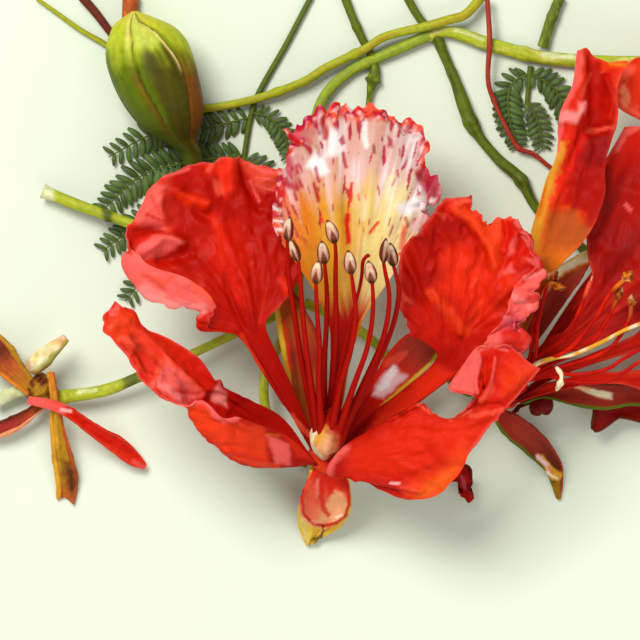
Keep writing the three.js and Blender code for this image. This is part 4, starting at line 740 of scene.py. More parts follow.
rightWing = {
    "angle": 18, "node": "main_wing_right", "grid": (150, 130), "length": 58, "blade": (0.26, 0.38),
    "fan": (24, 21), "seed": 8,
    "guides": [
        [(8.8, 8.5, 19), (15.2, 13.4, 22.4), (22.2, 20.2, 25.8), (17.4, 24.8, 28.4), (15.8, 28, 30),
         (14.7, 32.6, 31.4), (14.6, 37.3, 32), (15.9, 42.8, 32.4), (19, 46, 32.6), (21.6, 49.8, 32.6),
         (24.4, 51.8, 32.2), (28.4, 52.2, 31.4)],
        [(9.4, 7.8, 18.8), (16, 12.6, 22.1), (23.4, 19.2, 25.4), (21.2, 24.4, 27.4), (20.2, 28.6, 28.8),
         (19.6, 33.2, 29.8), (20, 37.6, 30.6), (21.4, 41.8, 31.2), (23.4, 44.6, 31.6), (25.6, 46.8, 31.6),
         (27.8, 48.4, 31.4), (30.4, 48.8, 31.2)],
        [(9.8, 7.4, 18.7), (16.6, 12, 22), (24.2, 18.4, 25.2), (25, 23.8, 26.8), (25.4, 28.4, 28),
         (25.8, 33, 29), (26.6, 37, 29.8), (27.8, 40.8, 30.4), (29, 43.2, 30.8), (30, 45, 31),
         (31, 46.4, 31), (32.2, 47, 30.8)],
        [(10.2, 7, 18.8), (17.2, 11.4, 22.1), (25, 17.6, 25.3), (29, 22.4, 27), (31.4, 27, 28.6),
         (32.6, 31.4, 29.6), (33.6, 35.4, 30.4), (34.4, 38.8, 31), (34.8, 41.6, 31.4), (35, 44.2, 31.6),
         (34.8, 46.4, 31.6), (34.6, 48.4, 31.4)],
        [(10.6, 6.6, 19), (17.8, 10.8, 22.4), (26, 16.6, 25.8), (33.6, 19.6, 28.4), (39.2, 20.6, 30.4),
         (40, 24, 31.2), (39.6, 27, 31.6), (42, 30.8, 32), (42, 33.6, 32.2), (43.4, 37.4, 32.4),
         (41.4, 41.8, 32), (38.2, 47.5, 31.4)],
        [(10.4, 6.8, 19.3), (17.5, 11.1, 22.8), (25.6, 17, 26.4), (30.6, 21.6, 29.6), (32.6, 24.4, 32.4),
         (35.2, 27.6, 33.4), (36.2, 30.2, 33.8), (37.6, 33.4, 34), (39.4, 35.6, 34), (42, 38.2, 33.4),
         (40.6, 41.8, 32.6), (37.6, 46.8, 32)],
    ],
    "pulls": [
        pull(28.2, 51.4, 1.7, (0.8, 1.1, 0)), pull(29.4, 50, 0.9, (-0.6, -0.8, 0)),
        pull(17.6, 24.9, 1.6, (-0.4, -0.7, 0)), pull(32.2, 47.6, 1.2, (0, -0.8, 0)),
        pull(40.6, 45, 1, (-0.4, -0.2, 0)), pull(22.6, 51, 0.9, (0.4, -0.3, 0)),
        pull(36.8, 48.4, 0.9, (0.2, 0.5, 0.2)), pull(39.2, 27, 1, (-1.2, 0, 0), (0.3, 1)),
        pull(41.6, 33, 0.9, (-1, 0, 0), (0.3, 1)), pull(31, 48.4, 0.9, (0.4, 0.2, 0)),
    ],
    "teeth": [(24, 0.16, 2), (52, 0.18, 1.4)],
    "ripples": [(6, 0.5, 14), (14, 0.3, 8), (33, 0.2, 4)],
    "creases": [(4.5, 0.8), (2.1, 0.45)],
    "ridges": [
        ridge([(26, 49.6), (29, 47.6), (31, 45), (33, 42), (34, 38.6)], 1.2, 1.4),
        ridge([(28, 46), (31, 42), (31.6, 38)], 1.3, -0.9),
        ridge([(36, 47.6), (35.8, 42), (34.8, 38)], 1, -1), ridge([(36, 41), (38, 45)], 0.7, 0.8),
        ridge([(35.4, 37), (37.6, 39.4)], 0.7, 0.8), ridge([(38.6, 47.4), (40.2, 43.6)], 0.8, 0.7),
        ridge([(21, 33), (25, 28.6), (27, 25)], 0.9, 0.6), ridge([(30, 26), (31.4, 33)], 0.9, -0.6),
        ridge([(24, 24), (24, 32)], 0.9, -0.4), ridge([(27, 25), (28.6, 34)], 0.8, 0.5),
        ridge([(21.4, 49.4), (23.6, 47.6)], 0.7, 0.6), ridge([(38, 34), (41.6, 33.4)], 0.6, 0.8, (0.3, 1)),
        ridge([(37, 30.8), (41.4, 31)], 0.7, 0.9, (0.3, 1)),
        ridge([(36, 28), (39, 27.8)], 0.6, -0.7, (0.3, 1)),
        ridge([(32.4, 24), (36, 26.2), (38.8, 25)], 0.6, 0.6, (0.3, 1)),
        ridge([(34, 23), (37.6, 23.6)], 0.8, -0.5, (0.3, 1)),
    ],
    "crinkle": [(6, 0.5), (2.6, 0.25), (1.1, 0.08)],
    "paint": [
        # painted shade: the left half, which curves away from the light, is darkened to deep red
        area([(14, 33), (16, 43.4), (20, 47.4), (25, 49.6), (29, 46), (24, 41), (22, 33), (18, 24)], 2,
             "deepRed", 0.95),
        area([(23.6, 42), (27, 43), (31, 40), (28, 37), (24, 38)], 1.8, "scarlet", 0.5),
        # painted highlight: the lit crest of the long fold
        line([(26, 49.8), (29, 47.8), (31.6, 45), (33, 42), (34, 38.6)], 1.5, "flame", 0.95),
        area([(31.4, 47.6), (35.4, 48.4), (35, 42), (32.6, 41)], 0.8, "flame", 0.9),
        line([(33.4, 48.2), (36.8, 48.2)], 1, "coral"),
        area([(36, 46.6), (38.4, 46.4), (40, 41), (36.6, 42)], 0.8, "red"),
        # painted highlights: pink lit facets along the right margin
        area([(35.8, 40), (38, 45.2), (37.6, 41.4)], 0.35, "pink", 0.75),
        area([(34.6, 36.2), (37, 39.4), (38.2, 37.4)], 0.4, "pink", 0.7),
        line([(38.4, 47.8), (40, 43.8), (42.4, 41)], 0.8, "pink"),
        area([(40, 39.8), (42.6, 40.2), (42.4, 38)], 0.4, "pink", 0.7),
        line([(26.4, 51), (28.6, 51.6)], 0.8, "coral", 0.9),
        area([(21.4, 49.4), (24.4, 48.8), (23.8, 47.4)], 0.3, "coral", 0.5),
        # painted highlight on the lit crest of this fold
        line([(21, 33), (25.4, 28.4), (27.6, 25)], 1.5, "flame", 0.6),
        line([(28, 25), (31, 31)], 1.2, "flame", 0.35),
        area([(15, 33.4), (17.4, 31), (15.4, 30.8)], 0.4, "coral", 0.6),
        area([(29, 34.4), (31.6, 36), (30, 36.4)], 0.5, "coral", 0.4),
        # painted light: the claw is brightened to scarlet against the shade that falls on it
        area([(8, 5), (11, 9.6), (22, 18.6), (26, 17), (16, 8.4)], 0.8, "scarlet"),
        area([(17.4, 24.8), (15.4, 30), (20, 31), (23, 25)], 1.2, "red", 0.7),
        # the turned-over margin: its paler back, made pinker still as a painted highlight
        area([(31, 23), (35.4, 27.4), (35.6, 29.4), (37.2, 33.4), (40.4, 36.2), (45, 38), (44, 33),
              (41, 25), (39.4, 19)],
             0.5, "pink", 0.85, (0.45, 1)),
        area([(35, 26.6), (38.6, 27.2), (40.8, 24.6), (39.6, 21.8), (35, 21.8)], 0.7, "red", 0.9, (0.3, 1)),
        line([(33, 24.6), (36.4, 26.4), (38.6, 25.4)], 0.35, "pink", 0.8, (0.3, 1)),
        line([(39.6, 36), (43.4, 37.4)], 0.6, "palePink", 0.6, (0.4, 1)),
        line([(38, 32), (40.6, 30.4)], 0.9, "palePink", 0.6, (0.4, 1)),
        area([(35, 28.6), (38.8, 29), (40, 26), (36, 25.6)], 0.5, "rose", 0.6, (0.3, 1)),
        line([(40.4, 32), (42, 32.2)], 0.6, "red", 0.8, (0.4, 1)),
        line([(36, 29), (38, 28)], 0.6, "red", 0.5, (0.4, 1)),
    ],
    "base": flameBase,
}

addPetal("leftWingPetal", mainFrame, leftWing)
addPetal("rightWingPetal", mainFrame, rightWing)
print("wing petals made")


# The two lower petals: the left one folded into a trough, the right one broad with a turned-over flap

leftKeel = {
    "angle": 216, "node": "main_keel_left", "grid": (150, 110), "length": 56, "blade": (0.12, 0.3),
    "fan": (-6, 2), "seed": 2,
    "guides": [
        [(-8, 4.5, 25), (-14, 7, 29), (-17.6, 8.2, 31), (-20.6, 8, 32.4), (-24, 11.4, 33.5),
         (-28.4, 10.9, 33.6), (-33, 12, 33.4), (-36.2, 15.2, 33), (-39, 19.4, 32.6), (-42, 23.2, 32),
         (-44.6, 25.4, 31.5)],
        [(-8, -1.7, 21), (-14, -1.6, 23.5), (-18, -0.6, 26), (-21.6, 1.6, 28), (-25.6, 5.6, 30),
         (-28.6, 12, 31.4), (-32.4, 15.2, 31), (-35.6, 17.6, 30.8), (-38.8, 22, 30.8), (-41.6, 24.8, 31),
         (-44.4, 27, 31)],
        [(-8.2, 1.4, 17.6), (-14, 3.4, 19), (-18.6, 6.4, 20.6), (-22.6, 10, 22.4), (-26.2, 14, 24.6),
         (-30, 17.4, 26.4), (-33.4, 20.2, 27.4), (-36.4, 22.6, 28), (-39, 25.6, 28.6), (-41.6, 27.4, 29.4),
         (-43.8, 28.6, 30)],
        [(-8.4, 4.8, 17), (-14.4, 7.6, 18.6), (-19, 10.6, 20.4), (-22.4, 13.4, 22.4), (-26, 17, 24.4),
         (-30, 20.8, 26), (-33.6, 23, 26.8), (-36.4, 24.6, 27.2), (-38.8, 27.4, 27.6), (-41.2, 29.2, 28.6),
         (-43.2, 29.8, 29.4)],
        [(-8.6, 7.8, 17.6), (-14.6, 11.2, 19.8), (-19.6, 13.6, 22.4), (-22.6, 15.8, 24), (-26, 20.2, 25.2),
         (-30.4, 23.4, 25.6), (-34, 25, 25.9), (-36.6, 26.4, 26.2), (-38.6, 29.4, 26.6),
         (-40.4, 30.4, 27.6), (-41.8, 31.4, 28.4)],
    ],
    "pulls": [
        pull(-21.4, 14.6, 1.3, (0.3, 0.8, 1), (0.5, 1)), pull(-40.4, 30.4, 0.8, (0.4, -0.5, 0), (0.5, 1)),
        pull(-44, 28.6, 1.6, (-0.8, 0.2, 0)),
        pull(-34.8, 14.6, 1, (0.6, 0.4, 0), (-1, -0.5)), pull(-39.4, 21, 0.9, (0.6, 0.1, 0), (-1, -0.5)),
    ],
    "teeth": [(30, 0.18, 1.2)],
    "ripples": [(5, 0.25, 5), (17, 0.15, 3)], "creases": [(4.5, 0.6), (2, 0.35)],
    "ridges": [
        ridge([(-37, 25), (-32, 20), (-28, 16), (-24.4, 12.8)], 0.9, 0.9),
        ridge([(-38, 21), (-34, 17)], 0.7, -0.9), ridge([(-30, 13.5), (-25.6, 12.7)], 0.6, -0.7),
        ridge([(-40, 24), (-38.4, 22), (-37, 18)], 0.9, 0.8),
        ridge([(-42.6, 26), (-40, 27)], 0.8, 0.6), ridge([(-35, 19), (-33.4, 16)], 0.9, 0.8),
        ridge([(-20, 1.6), (-16.4, 1.4), (-12, -0.6)], 0.7, -0.5, (-1, 0)),
    ],
    "crinkle": [(4, 0.35), (1.8, 0.18), (0.9, 0.06)],
    "paint": [
        area([(-28.4, 10.8), (-24.5, 10.8), (-20, 7.5), (-13, 6.6), (-12, 4.8), (-12, -1.8), (-19, 0),
              (-26, 6)], 0.8, "flame", 0.7, (-1, -0.3)),
        line([(-19, 1.4), (-16, -0.6), (-10, -1.6)], 0.8, "flame", 0.8, (-1, -0.2)),
        line([(-19.6, 2), (-17.4, 0.6), (-12.6, -0.4)], 0.5, "scarlet", 0.8, (-1, -0.2)),
        area([(-12, 4.6), (-10, 4), (-7.5, 2.8), (-7.2, -1.2), (-10.4, -1.2)], 0.4, "pink", 0.8,
             (-1, -0.2)),
        line([(-28.5, 11), (-25.4, 11.2)], 0.8, "pink", 0.9, (-1, -0.3)),
        area([(-26, 11.8), (-23, 10.6), (-21, 9.4), (-16.6, 8.5), (-18.6, 7.4), (-20.8, 7.2), (-22.8, 8.8),
              (-24.6, 10.8)], 0.35, "pink", 0.95, (-1, -0.2)),
        line([(-12, 4.8), (-9.4, 4.6)], 0.4, "orange", 0.4, (-1, -0.2)),
        # the pink triangle, brightened to pale pink as painted light against the shade that falls on it
        area([(-21.4, 15.2), (-19.7, 12), (-19.8, 10), (-23.6, 12)], 0.5, "palePink", 0.95),
        # painted shade: the far wall's inner face, turned away from the light, darkened to deep red
        area([(-20, 13.8), (-6, 6.8), (-6, 4.6), (-12, 5.4), (-19.6, 9.6)], 0.5, "deepRed", 0.8, (0, 1)),
        area([(-36, 25.6), (-26, 20.4), (-21.6, 15), (-24, 12.4), (-30, 18)], 0.7, "red", 0.8, (0.2, 1)),
        area([(-44.6, 28), (-40, 29), (-35, 24.4), (-25, 13.6), (-28.6, 10.6), (-35, 14.6), (-40, 22)], 1,
             "coral", 0.4),
        # painted highlight along the lit crest of the near wall
        line([(-37, 25.2), (-32, 20), (-28, 16), (-24.4, 12.8)], 0.5, "coral"),
        # painted highlight: the pink lit face of the near wall
        area([(-35.4, 15), (-28.6, 10.4), (-24.6, 12.4), (-28.6, 16.6), (-31.6, 19.8), (-33.4, 17)], 0.6,
             "pink", 0.95),
        line([(-33, 14.6), (-29.4, 12.4)], 1, "palePink", 0.6),
        area([(-39, 21), (-34, 15.6), (-33.4, 18.6), (-36.6, 21.6)], 0.7, "red", 0.7),
        line([(-34, 16.6), (-33, 19)], 0.7, "coral"), line([(-30, 13.4), (-25.6, 12.8)], 0.5, "red"),
        area([(-44.6, 25), (-41.7, 31.4), (-38, 28), (-39, 23), (-42, 23)], 0.8, "flame"),
        # painted highlights on the folds at the tip
        line([(-41.6, 31), (-42.6, 29)], 1, "pink"), line([(-41, 24), (-38.6, 23.4)], 0.9, "coral", 0.9),
        line([(-38, 27), (-35, 23), (-33, 20.6)], 0.9, "scarlet", 0.7),
        line([(-43.4, 26), (-42, 27.4)], 0.6, "coral"),
        area([(-9, 5.5), (-4, 2.5), (-2, -0.5), (-6, 0)], 0.6, "scarlet", 0.7, (-1, 0.2)),
    ],
    "base": flameBase,
}

rightKeel = {
    "angle": 304, "node": "main_keel_right", "grid": (140, 110), "length": 54, "blade": (0.12, 0.3),
    "fan": (2, -1), "seed": 6,
    "guides": [
        [(0.4, -3.6, 21), (5.8, -4.5, 21), (10.6, -6.6, 22.8), (16, -8.4, 24.6), (21.6, -7.8, 26.4),
         (26, -4, 28.5), (28.8, 1, 30.4), (31, 4, 31.6), (33.4, 7.2, 32.8), (36.2, 10, 34),
         (39.4, 13.8, 35.2), (42.7, 17.8, 36)],
        [(0.2, -3, 21.4), (5.4, -3.4, 21.6), (10.6, -5, 23.6), (15.6, -5.8, 25.6), (20.6, -4.6, 27.4),
         (24.6, -1.4, 29.2), (28, 3, 30.8), (30.2, 6.2, 32), (32.4, 9.2, 33.2), (35, 12, 34.4),
         (38, 15.2, 35.4), (41.6, 18.6, 35.9)],
        [(0.4, -1.8, 21.8), (5, -0.8, 22), (10.6, 0, 24.6), (15.4, 0.2, 26.8), (20, 0.6, 28.6),
         (24, 2.8, 30), (27, 6, 31.2), (29.8, 8.8, 32.4), (31.6, 12, 33.6), (33.6, 15.6, 34.6),
         (36.6, 18.2, 35.3), (40.2, 19.6, 35.6)],
        [(0.9, -0.8, 21.8), (5, 1.6, 22), (10.6, 4, 24.8), (15.2, 5.8, 26.8), (19.6, 5.6, 28.6),
         (23.8, 5.8, 30.2), (26.6, 7.4, 31.4), (29.4, 10.2, 32.6), (31.2, 14, 33.8), (32.4, 18.2, 34.6),
         (34.8, 20.4, 35.1), (38.8, 20.8, 35.2)],
        [(1.5, 0, 21.6), (5.2, 3.3, 21.6), (11, 6.6, 24.4), (15.4, 9.2, 26.4), (18.9, 10.6, 27.4),
         (21.4, 8.8, 29.2), (25.6, 7.5, 31), (29.6, 11.2, 33), (30.8, 14.6, 34.2), (31, 19, 34.9),
         (32.8, 22.4, 34.8), (37.2, 21.9, 34.7)],
        [(1.7, 0.2, 21.4), (5.4, 3.5, 21.3), (11.2, 6.8, 24), (15.6, 9.4, 26), (19.2, 10.8, 27),
         (21.6, 9, 29), (25.8, 7.8, 31.4), (30, 12.3, 34), (24.4, 13.8, 35.4), (27.8, 19, 35.8),
         (31, 22.4, 35.6), (36.8, 22, 35)],
    ],
    "pulls": [
        pull(23.4, 9.2, 1, (0, 0.5, 0.2)), pull(28.4, 9, 1.2, (0.3, 0.4, 0)),
        pull(34, 7.8, 1.2, (0.4, -0.3, 0.4), (-1, 0)), pull(35.4, 9.6, 1, (0.3, -0.4, 0.4), (-1, 0)),
    ],
    "teeth": [(28, 0.16, 1.2)],
    "ripples": [(5, 0.35, 8), (13, 0.2, 4), (27, 0.12, 2)], "creases": [(5, 0.5), (2.2, 0.3)],
    "ridges": [
        ridge([(6, -4.2), (13, -5.4), (19, -6.6)], 0.7, 0.9), ridge([(7, -5), (14, -6.8)], 0.7, -0.8),
        ridge([(31.4, 14), (31.6, 19.6)], 0.6, -0.5), ridge([(33.8, 20), (32.4, 14.6), (31, 11)], 0.7, 0.8),
        ridge([(20, 2), (22, 0), (23.6, -3)], 0.9, -0.5), ridge([(11, 5), (19, 6)], 0.9, -0.4),
        ridge([(22, 6), (28, 6.6), (33, 8.4)], 0.8, 0.5), ridge([(35, 12), (39, 16)], 0.9, 0.6),
        ridge([(18, 1.6), (22, 3.4)], 0.9, 0.5), ridge([(29.8, 10.4), (34.6, 10.6)], 0.6, -0.7),
    ],
    "crinkle": [(5, 0.4), (2.2, 0.2), (1, 0.07)],
    "paint": [
        area([(4, 2), (12, 6), (18, 10), (24, 5), (27, 3), (22, -3), (14, -4), (4, -4)], 2, "scarlet", 0.7),
        area([(-0.5, -5), (-0.5, -1), (3.6, 3.4), (4.6, 2), (1.6, -1.4), (1.4, -4)], 0.8, "pink", 0.75),
        area([(30, -1), (26, -6), (20, -8.6), (15, -8), (17, -4.6), (23, -2), (27, 3)], 1.6, "flame", 0.95),
        area([(27, -1), (24, -6), (18, -8.6), (19, -6), (23, -3)], 1, "orange", 0.35),
        line([(20.4, 2.4), (23.6, -1)], 1.1, "red", 0.45), line([(15, 1.4), (21, 0.6)], 0.9, "red", 0.3),
        line([(6, -4.6), (10, -6), (15, -7.6)], 0.9, "red"),
        line([(13, -5), (14.6, -5.2)], 0.35, "blush", 0.9),
        line([(14.6, -5.6), (18, -6.6)], 0.5, "coral", 0.4),
        area([(30.4, 12.7), (24.2, 13.8), (28, 19.4), (30, 23), (31, 19.6)], 0.35, "pink", 0.95, (0.55, 1)),
        area([(29, 12.6), (30, 10), (30.6, 12.4)], 0.4, "claret", 0.7),
        line([(31, 21.6), (33, 23), (36, 21.6)], 0.7, "pink", 0.7),
        line([(31.6, 12), (33, 15), (33.8, 20)], 0.4, "pink", 0.6),
        line([(31, 11.4), (33, 14)], 0.9, "coral", 0.5), line([(29, 8.4), (35.4, 9.6)], 0.7, "coral", 0.7),
        line([(25, 7.6), (29, 9.4)], 0.5, "coral", 0.7),
        area([(35, 12), (38, 14), (42.6, 17.8), (38, 20), (35, 17)], 1.4, "flame", 0.7),
        line([(18.6, 10.6), (21, 9), (24, 9)], 0.5, "coral"),
        area([(34, 17), (37, 16), (39, 19), (36, 20.6)], 1, "scarlet", 0.6),
    ],
    "base": flameBase,
}

addPetal("leftLowerPetal", mainFrame, leftKeel)
addPetal("rightLowerPetal", mainFrame, rightKeel)
print("lower petals made")


# Sepals: fleshy, streaked red-brown inside with margins of another colour

def calyxBase(inner, leftMargin, rightMargin, reach=0.78):
    def base(points, across, along, rim, turn, out):
        colours = shades(inner, along)
        streak = wander(np.c_[across * 5, along * 2.5, along * 0], 1, len(inner))
        colours = np.clip(colours * (1 + 0.3 * streak)[:, None], 0, 1)
        edge = reach + 0.12 * wander(np.c_[along * 9, across * 0, along * 0], 1, 3)
        colours = mixed(colours, leftMargin, smooth(0, 0.14, -across - edge))
        return mixed(colours, rightMargin, smooth(0, 0.14, across - edge))
    return base


mainSepals = {
    "lowerSepal": {
        "angle": 270, "node": "main_sepal_lower", "thickness": 0.8, "seed": 3,
        "foot": {"radius": 3.4, "height": -0.8, "width": 7.6},
        "guides": [
            [(-4.6, -7, 13.4), (-5.7, -10.4, 9.2), (-5.7, -13.4, 5.2), (-5, -16, 2.2), (-4, -18.1, 0.7)],
            [(-4.4, -6.6, 15.6), (-5.1, -9.8, 12.2), (-4.3, -12.6, 8.4), (-3, -14.6, 5),
             (-3.6, -18.1, 1.6)],
            [(-2.2, -7, 13.8), (-2.6, -10, 9.6), (-2.6, -12.4, 6.6), (-2, -14.6, 3.8), (-3.4, -17.7, 1.2)],
            [(0.3, -7.2, 13), (0.2, -10.4, 8.8), (-0.4, -12.6, 6), (-1.4, -14.8, 3.4), (-3.2, -17.5, 1)],
            [(2.6, -7, 13.8), (2.6, -10, 9.8), (1.4, -12.4, 6.8), (-0.8, -14.6, 4), (-3, -17.4, 1.1)],
            [(4.3, -6.6, 15.6), (4.4, -9.6, 12.2), (2.8, -12.4, 8.4), (-0.2, -14.3, 5.2),
             (-2.8, -17.3, 1.4)],
            [(5, -6.8, 14.2), (5.2, -10, 10.2), (3.7, -13.4, 6), (0.2, -16, 2.8), (-2.6, -17.4, 0.7)],
        ],
        "base": calyxBase(("red", "coral", "peach", "apricot", "gold"), "yellow", "yellow", 0.76),
        "paint": [
            area([(-3.6, -4.5), (-4.6, -8), (-4.2, -11.4), (-2, -13.4), (-1.2, -9), (-1, -4.5)], 0.8,
                 "coral", 0.7),
            area([(0.2, -4), (4.2, -4), (4.6, -7.4), (2.4, -6), (0.6, -8)], 0.6, "red", 0.9),
            area([(1.8, -6.4), (0.6, -8.8), (-0.2, -11), (-1.6, -13), (1, -13.4), (3.6, -12), (4.4, -9.6),
                  (3.4, -7.4)], 0.4, "apricot", 0.95),
            line([(-0.5, -4.4), (-0.9, -7), (-0.7, -9.4), (0.3, -11.6)], 0.8, "red", 0.85),
            # painted highlights: a pale pink glint and a cream glint
            line([(-1.6, -4.6), (-1.8, -8)], 0.4, "palePink", 0.6),
            line([(2, -12.2), (3.2, -11.8)], 0.35, "cream", 0.7),
            area([(-5.4, -12), (-4, -13.8), (-1, -14.6), (-1.4, -16), (-3.6, -18.4), (-5.6, -15)], 0.4,
                 "yellow", 0.9),
            line([(-4.8, -13), (-4.2, -15.6), (-3.8, -17.4)], 0.7, "straw", 0.7),
            area([(0, -14.4), (3.8, -12.8), (4.8, -11), (4.6, -13), (1, -15.8)], 0.4, "gold"),
            line([(-3.7, -3), (-4.5, -6), (-4.9, -9), (-4.5, -11.6), (-2.6, -13.5), (-0.4, -14), (2, -13.5),
                  (3.9, -12), (4.7, -9.6), (4.5, -6.6), (3.9, -4.4)], 0.5, "red", 0.95),
            # painted highlight: a small pale pink glint
            line([(-3, -13), (-2.2, -13.6)], 0.3, "palePink"),
            line([(-0.7, -13.9), (-0.5, -15), (-1.2, -16.6)], 0.35, "brown", 0.9),
            area([(-2.4, -16.6), (-0.8, -16.2), (-0.9, -17.2), (-2.4, -17.4)], 0.3, "umber"),
        ],
    },
    "upperLeftSepal": {
        "angle": 119, "node": "main_sepal_upper_left", "seed": 4,
        "guides": [
            [(-6.2, 9, 13.6), (-8, 17, 16.4), (-9.4, 24, 18.5), (-9.9, 30, 18.5), (-9, 34.5, 17.5)],
            [(-3.9, 9, 12.7), (-4.2, 17, 15.4), (-5, 23.5, 17.4), (-6.8, 30, 17.6), (-8.4, 35.5, 17)],
            [(-1.6, 9, 13.6), (-0.4, 17, 16.4), (-1.2, 23, 18.5), (-4.2, 29.5, 18.5), (-7.6, 34.8, 17.5)],
        ],
        "base": calyxBase(("red", "rust", "mauve", "rust", "rust"), "gold", "mauve", 0.72),
        "paint": [line([(-8.4, 20), (-9.6, 29)], 0.6, "yellow"),
                  line([(-7, 18), (-8.6, 28)], 0.5, "scarlet", 0.7)],
    },
    "upperRightSepal": {
        "angle": 61, "node": "main_sepal_upper_right", "seed": 5,
        "guides": [
            [(4.6, 8.4, 13.4), (8.5, 14, 15.6), (12, 20, 17.3), (16.5, 24.6, 18), (22.5, 26, 17.5)],
            [(6.4, 7.4, 12.8), (10.6, 12.9, 14.8), (15, 18, 16.4), (19.6, 22.6, 17.2), (24.2, 25.8, 17)],
            [(8.2, 6.6, 13.6), (13, 11.3, 15.6), (17.8, 15.6, 17.3), (22, 20, 18), (24.8, 24.2, 17.5)],
        ],
        "base": calyxBase(("deepRed", "deepRed", "red", "mauve", "mauve"), "red", "citrine", 0.8),
        "paint": [
            # painted highlight: a pink-white patch with a white stroke in it
            area([(9.2, 12.4), (10.8, 15.6), (13.4, 18.6), (15.2, 16.8), (16.8, 16.6), (14.6, 14.4),
                  (12, 11.8)], 0.5, "blush", 1),
            line([(11.4, 14), (13.4, 16.8)], 1.2, "white"),
            line([(12.4, 19), (15.6, 20.6)], 1.2, "coral", 0.5),
            line([(11, 10), (16, 14.4), (21, 18.8)], 0.55, "yellow", 0.7),
        ],
    },
    "lowerLeftSepal": {
        "angle": 186, "node": "main_sepal_lower_left", "seed": 6,
        "guides": [
            [(-8, -1.2, 13.6), (-13, 0.2, 12.6), (-18, 1.6, 10.6), (-22, 3.4, 8.6), (-25.4, 6.2, 6.6)],
            [(-8.4, 1.2, 12.8), (-13.4, 3.2, 11.6), (-18.4, 4.7, 9.6), (-22.4, 5.8, 7.6), (-25.6, 7, 6.2)],
            [(-8.6, 3.6, 13.4), (-13.6, 6.2, 12.4), (-18.6, 7.8, 10.4), (-22.6, 8.2, 8.4),
             (-25.4, 7.8, 6.6)],
        ],
        "base": calyxBase(("red", "claret", "claret", "mauve"), "moss", "moss"),
    },
    "lowerRightSepal": {
        "angle": 346, "node": "main_sepal_lower_right", "seed": 7,
        "guides": [
            [(10, -4.4, 13.6), (16, -4.8, 11.8), (22, -5.4, 9), (26.4, -5, 6.4), (26.6, -7.4, 3.4)],
            [(10.4, -1.6, 12.6), (16.4, -1.8, 10.6), (22.4, -2.8, 7.8), (27, -4.2, 5.4), (28.6, -9.4, 2.6)],
            [(10.6, 1.4, 13.2), (16.6, 1.2, 11.4), (22.6, -0.2, 8.8), (28.8, -2.6, 6.2), (30, -8.6, 3)],
        ],
        "ridges": [ridge([(27, -4), (29, -6)], 0.7, 0.8), ridge([(28.4, -3), (28, -9)], 0.6, -0.7)],
        "pulls": [pull(26.4, -7, 1.4, (1, 0, 0.4)), pull(29.6, -6.6, 1.2, (-0.9, 0, 0.4))],
        "base": calyxBase(("red", "claret", "claret", "deepRed"), "maroon", "maroon"),
        "paint": [line([(27.6, -4), (28.2, -6.4)], 0.5, "rose", 0.6)],
    },
}


def plain(ink, shade, share=0.6):
    def base(points, along, turn, ways):
        uneven = smooth(-0.3, 0.5, wander(points, 2.2, 3))
        # uneven towards the second colour at random, and more so on the sides that face down, as painted
        # shade
        return mixed(ink, shade, share * uneven * (0.5 + 0.5 * smooth(0.4, -0.6, ways[:, 2])))
    return base


def lumpy(size, depth, seed):
    def shape(along, turn, middle):
        return 1 + depth * wander(np.c_[np.cos(turn) * 1.2, np.sin(turn) * 1.2, along * size], 1, seed)
    return shape


sepalForm = {"grid": (70, 44), "blade": (0.02, 0.2), "length": 26, "thickness": 0.7, "foot": sepalFoot,
             "crinkle": [(3, 0.22), (1.2, 0.08)]}


def addSepals(bloom, sepals):
    for name, sepal in sepals.items():
        settings = {**sepalForm, **sepal}
        settings = withFoot(bloom, settings, **settings["foot"])
        whole = sheet(settings)
        if "curl" in settings:
            joinTo(whole, bodyOf(settings["curl"], shape=lumpy(3, 0.3, 2), base=plain("maroon", "claret")))
        addPiece(name, whole, "sepalSkin", "sepal", settings["node"])


addSepals(mainFrame, mainSepals)
print("sepals of the open bloom made")


# The receptacle, the pale cup inside it, and the stamens that stand on the cup

receptacleProfile = [(0, -7), (1.5, -7), (1.75, -6.6), (1.95, -5.6), (2.6, -4), (3.4, -2.4), (4, -1.2),
                     (4.2, -0.5), (4, -0.05), (3, 0), (0, 0)]
cup = {"path": [(-0.3, 0, 15.6), (-0.3, 1.4, 17.4), (-0.2, 2.7, 18.8), (0.6, 5, 20.8), (1.4, 7.4, 22.8),
                (2, 9.8, 24.6)],
       "radii": [0.9, 2.2, 3.5, 3.2, 2.6, 1.2], "sides": 60, "steps": 40, "flutes": 10, "fluteDepth": 0.035,
       "left": [(-1, -0.8), (0, -1.4), (1.4, -2.7), (2.4, -3.7), (4.5, -2.9), (6.6, -1.6), (8, -1.2)]}


def greenCalyx(radius, height, turn):
    streak = wander(np.c_[np.cos(turn) * 4, np.sin(turn) * 4, height * 0.4], 1, 2)
    colours = mixed("lime", "moss", smooth(-0.2, 0.5, streak))
    return mixed(colours, "red", 0.95 * smooth(-3.6, -1.6, height))


def creamCup(points, along, turn, ways):
    # a cream edge at the left, where the pale cup is lightened as a painted highlight, then gold and dusky
    # peach that shade into the filaments' red
    x, y = points[:, 0], points[:, 1]
    shade = 0.6 * wander(points, 1.3, 6)
    inward = x - np.interp(y, *zip(*cup["left"])) + shade
    colours = mixed("cream", "apricot", smooth(0.5, 1.3, inward))
    gold = smooth(0.7, 1.3, inward) * (1 - smooth(2.2, 3.2, inward)) * smooth(1.6, 3, y)
    colours = mixed(colours, "gold", 0.85 * gold)
    colours = mixed(colours, "rust", 0.75 * smooth(-0.4, 1.8, x + shade))
    red = np.maximum(smooth(1.4, 3.2, x + shade), smooth(4.8, 6.6, y + shade + 0.5 * inward - 1.2))
    return mixed(colours, "deepRed", red)


def fluted(along, turn, middle):
    return 1 + cup["fluteDepth"] * np.cos(cup["flutes"] * turn)


def addReceptacle(name, bloom, node):
    addPiece(name, spun(receptacleProfile, bloom, 48, greenCalyx), "stalkSkin", "receptacle", node)


addReceptacle("receptacle", mainFrame, "main_receptacle")
addPiece("stamenCup", bodyOf(cup, shape=fluted, base=creamCup), "sepalSkin", "stamen_base", "stamen_collar")

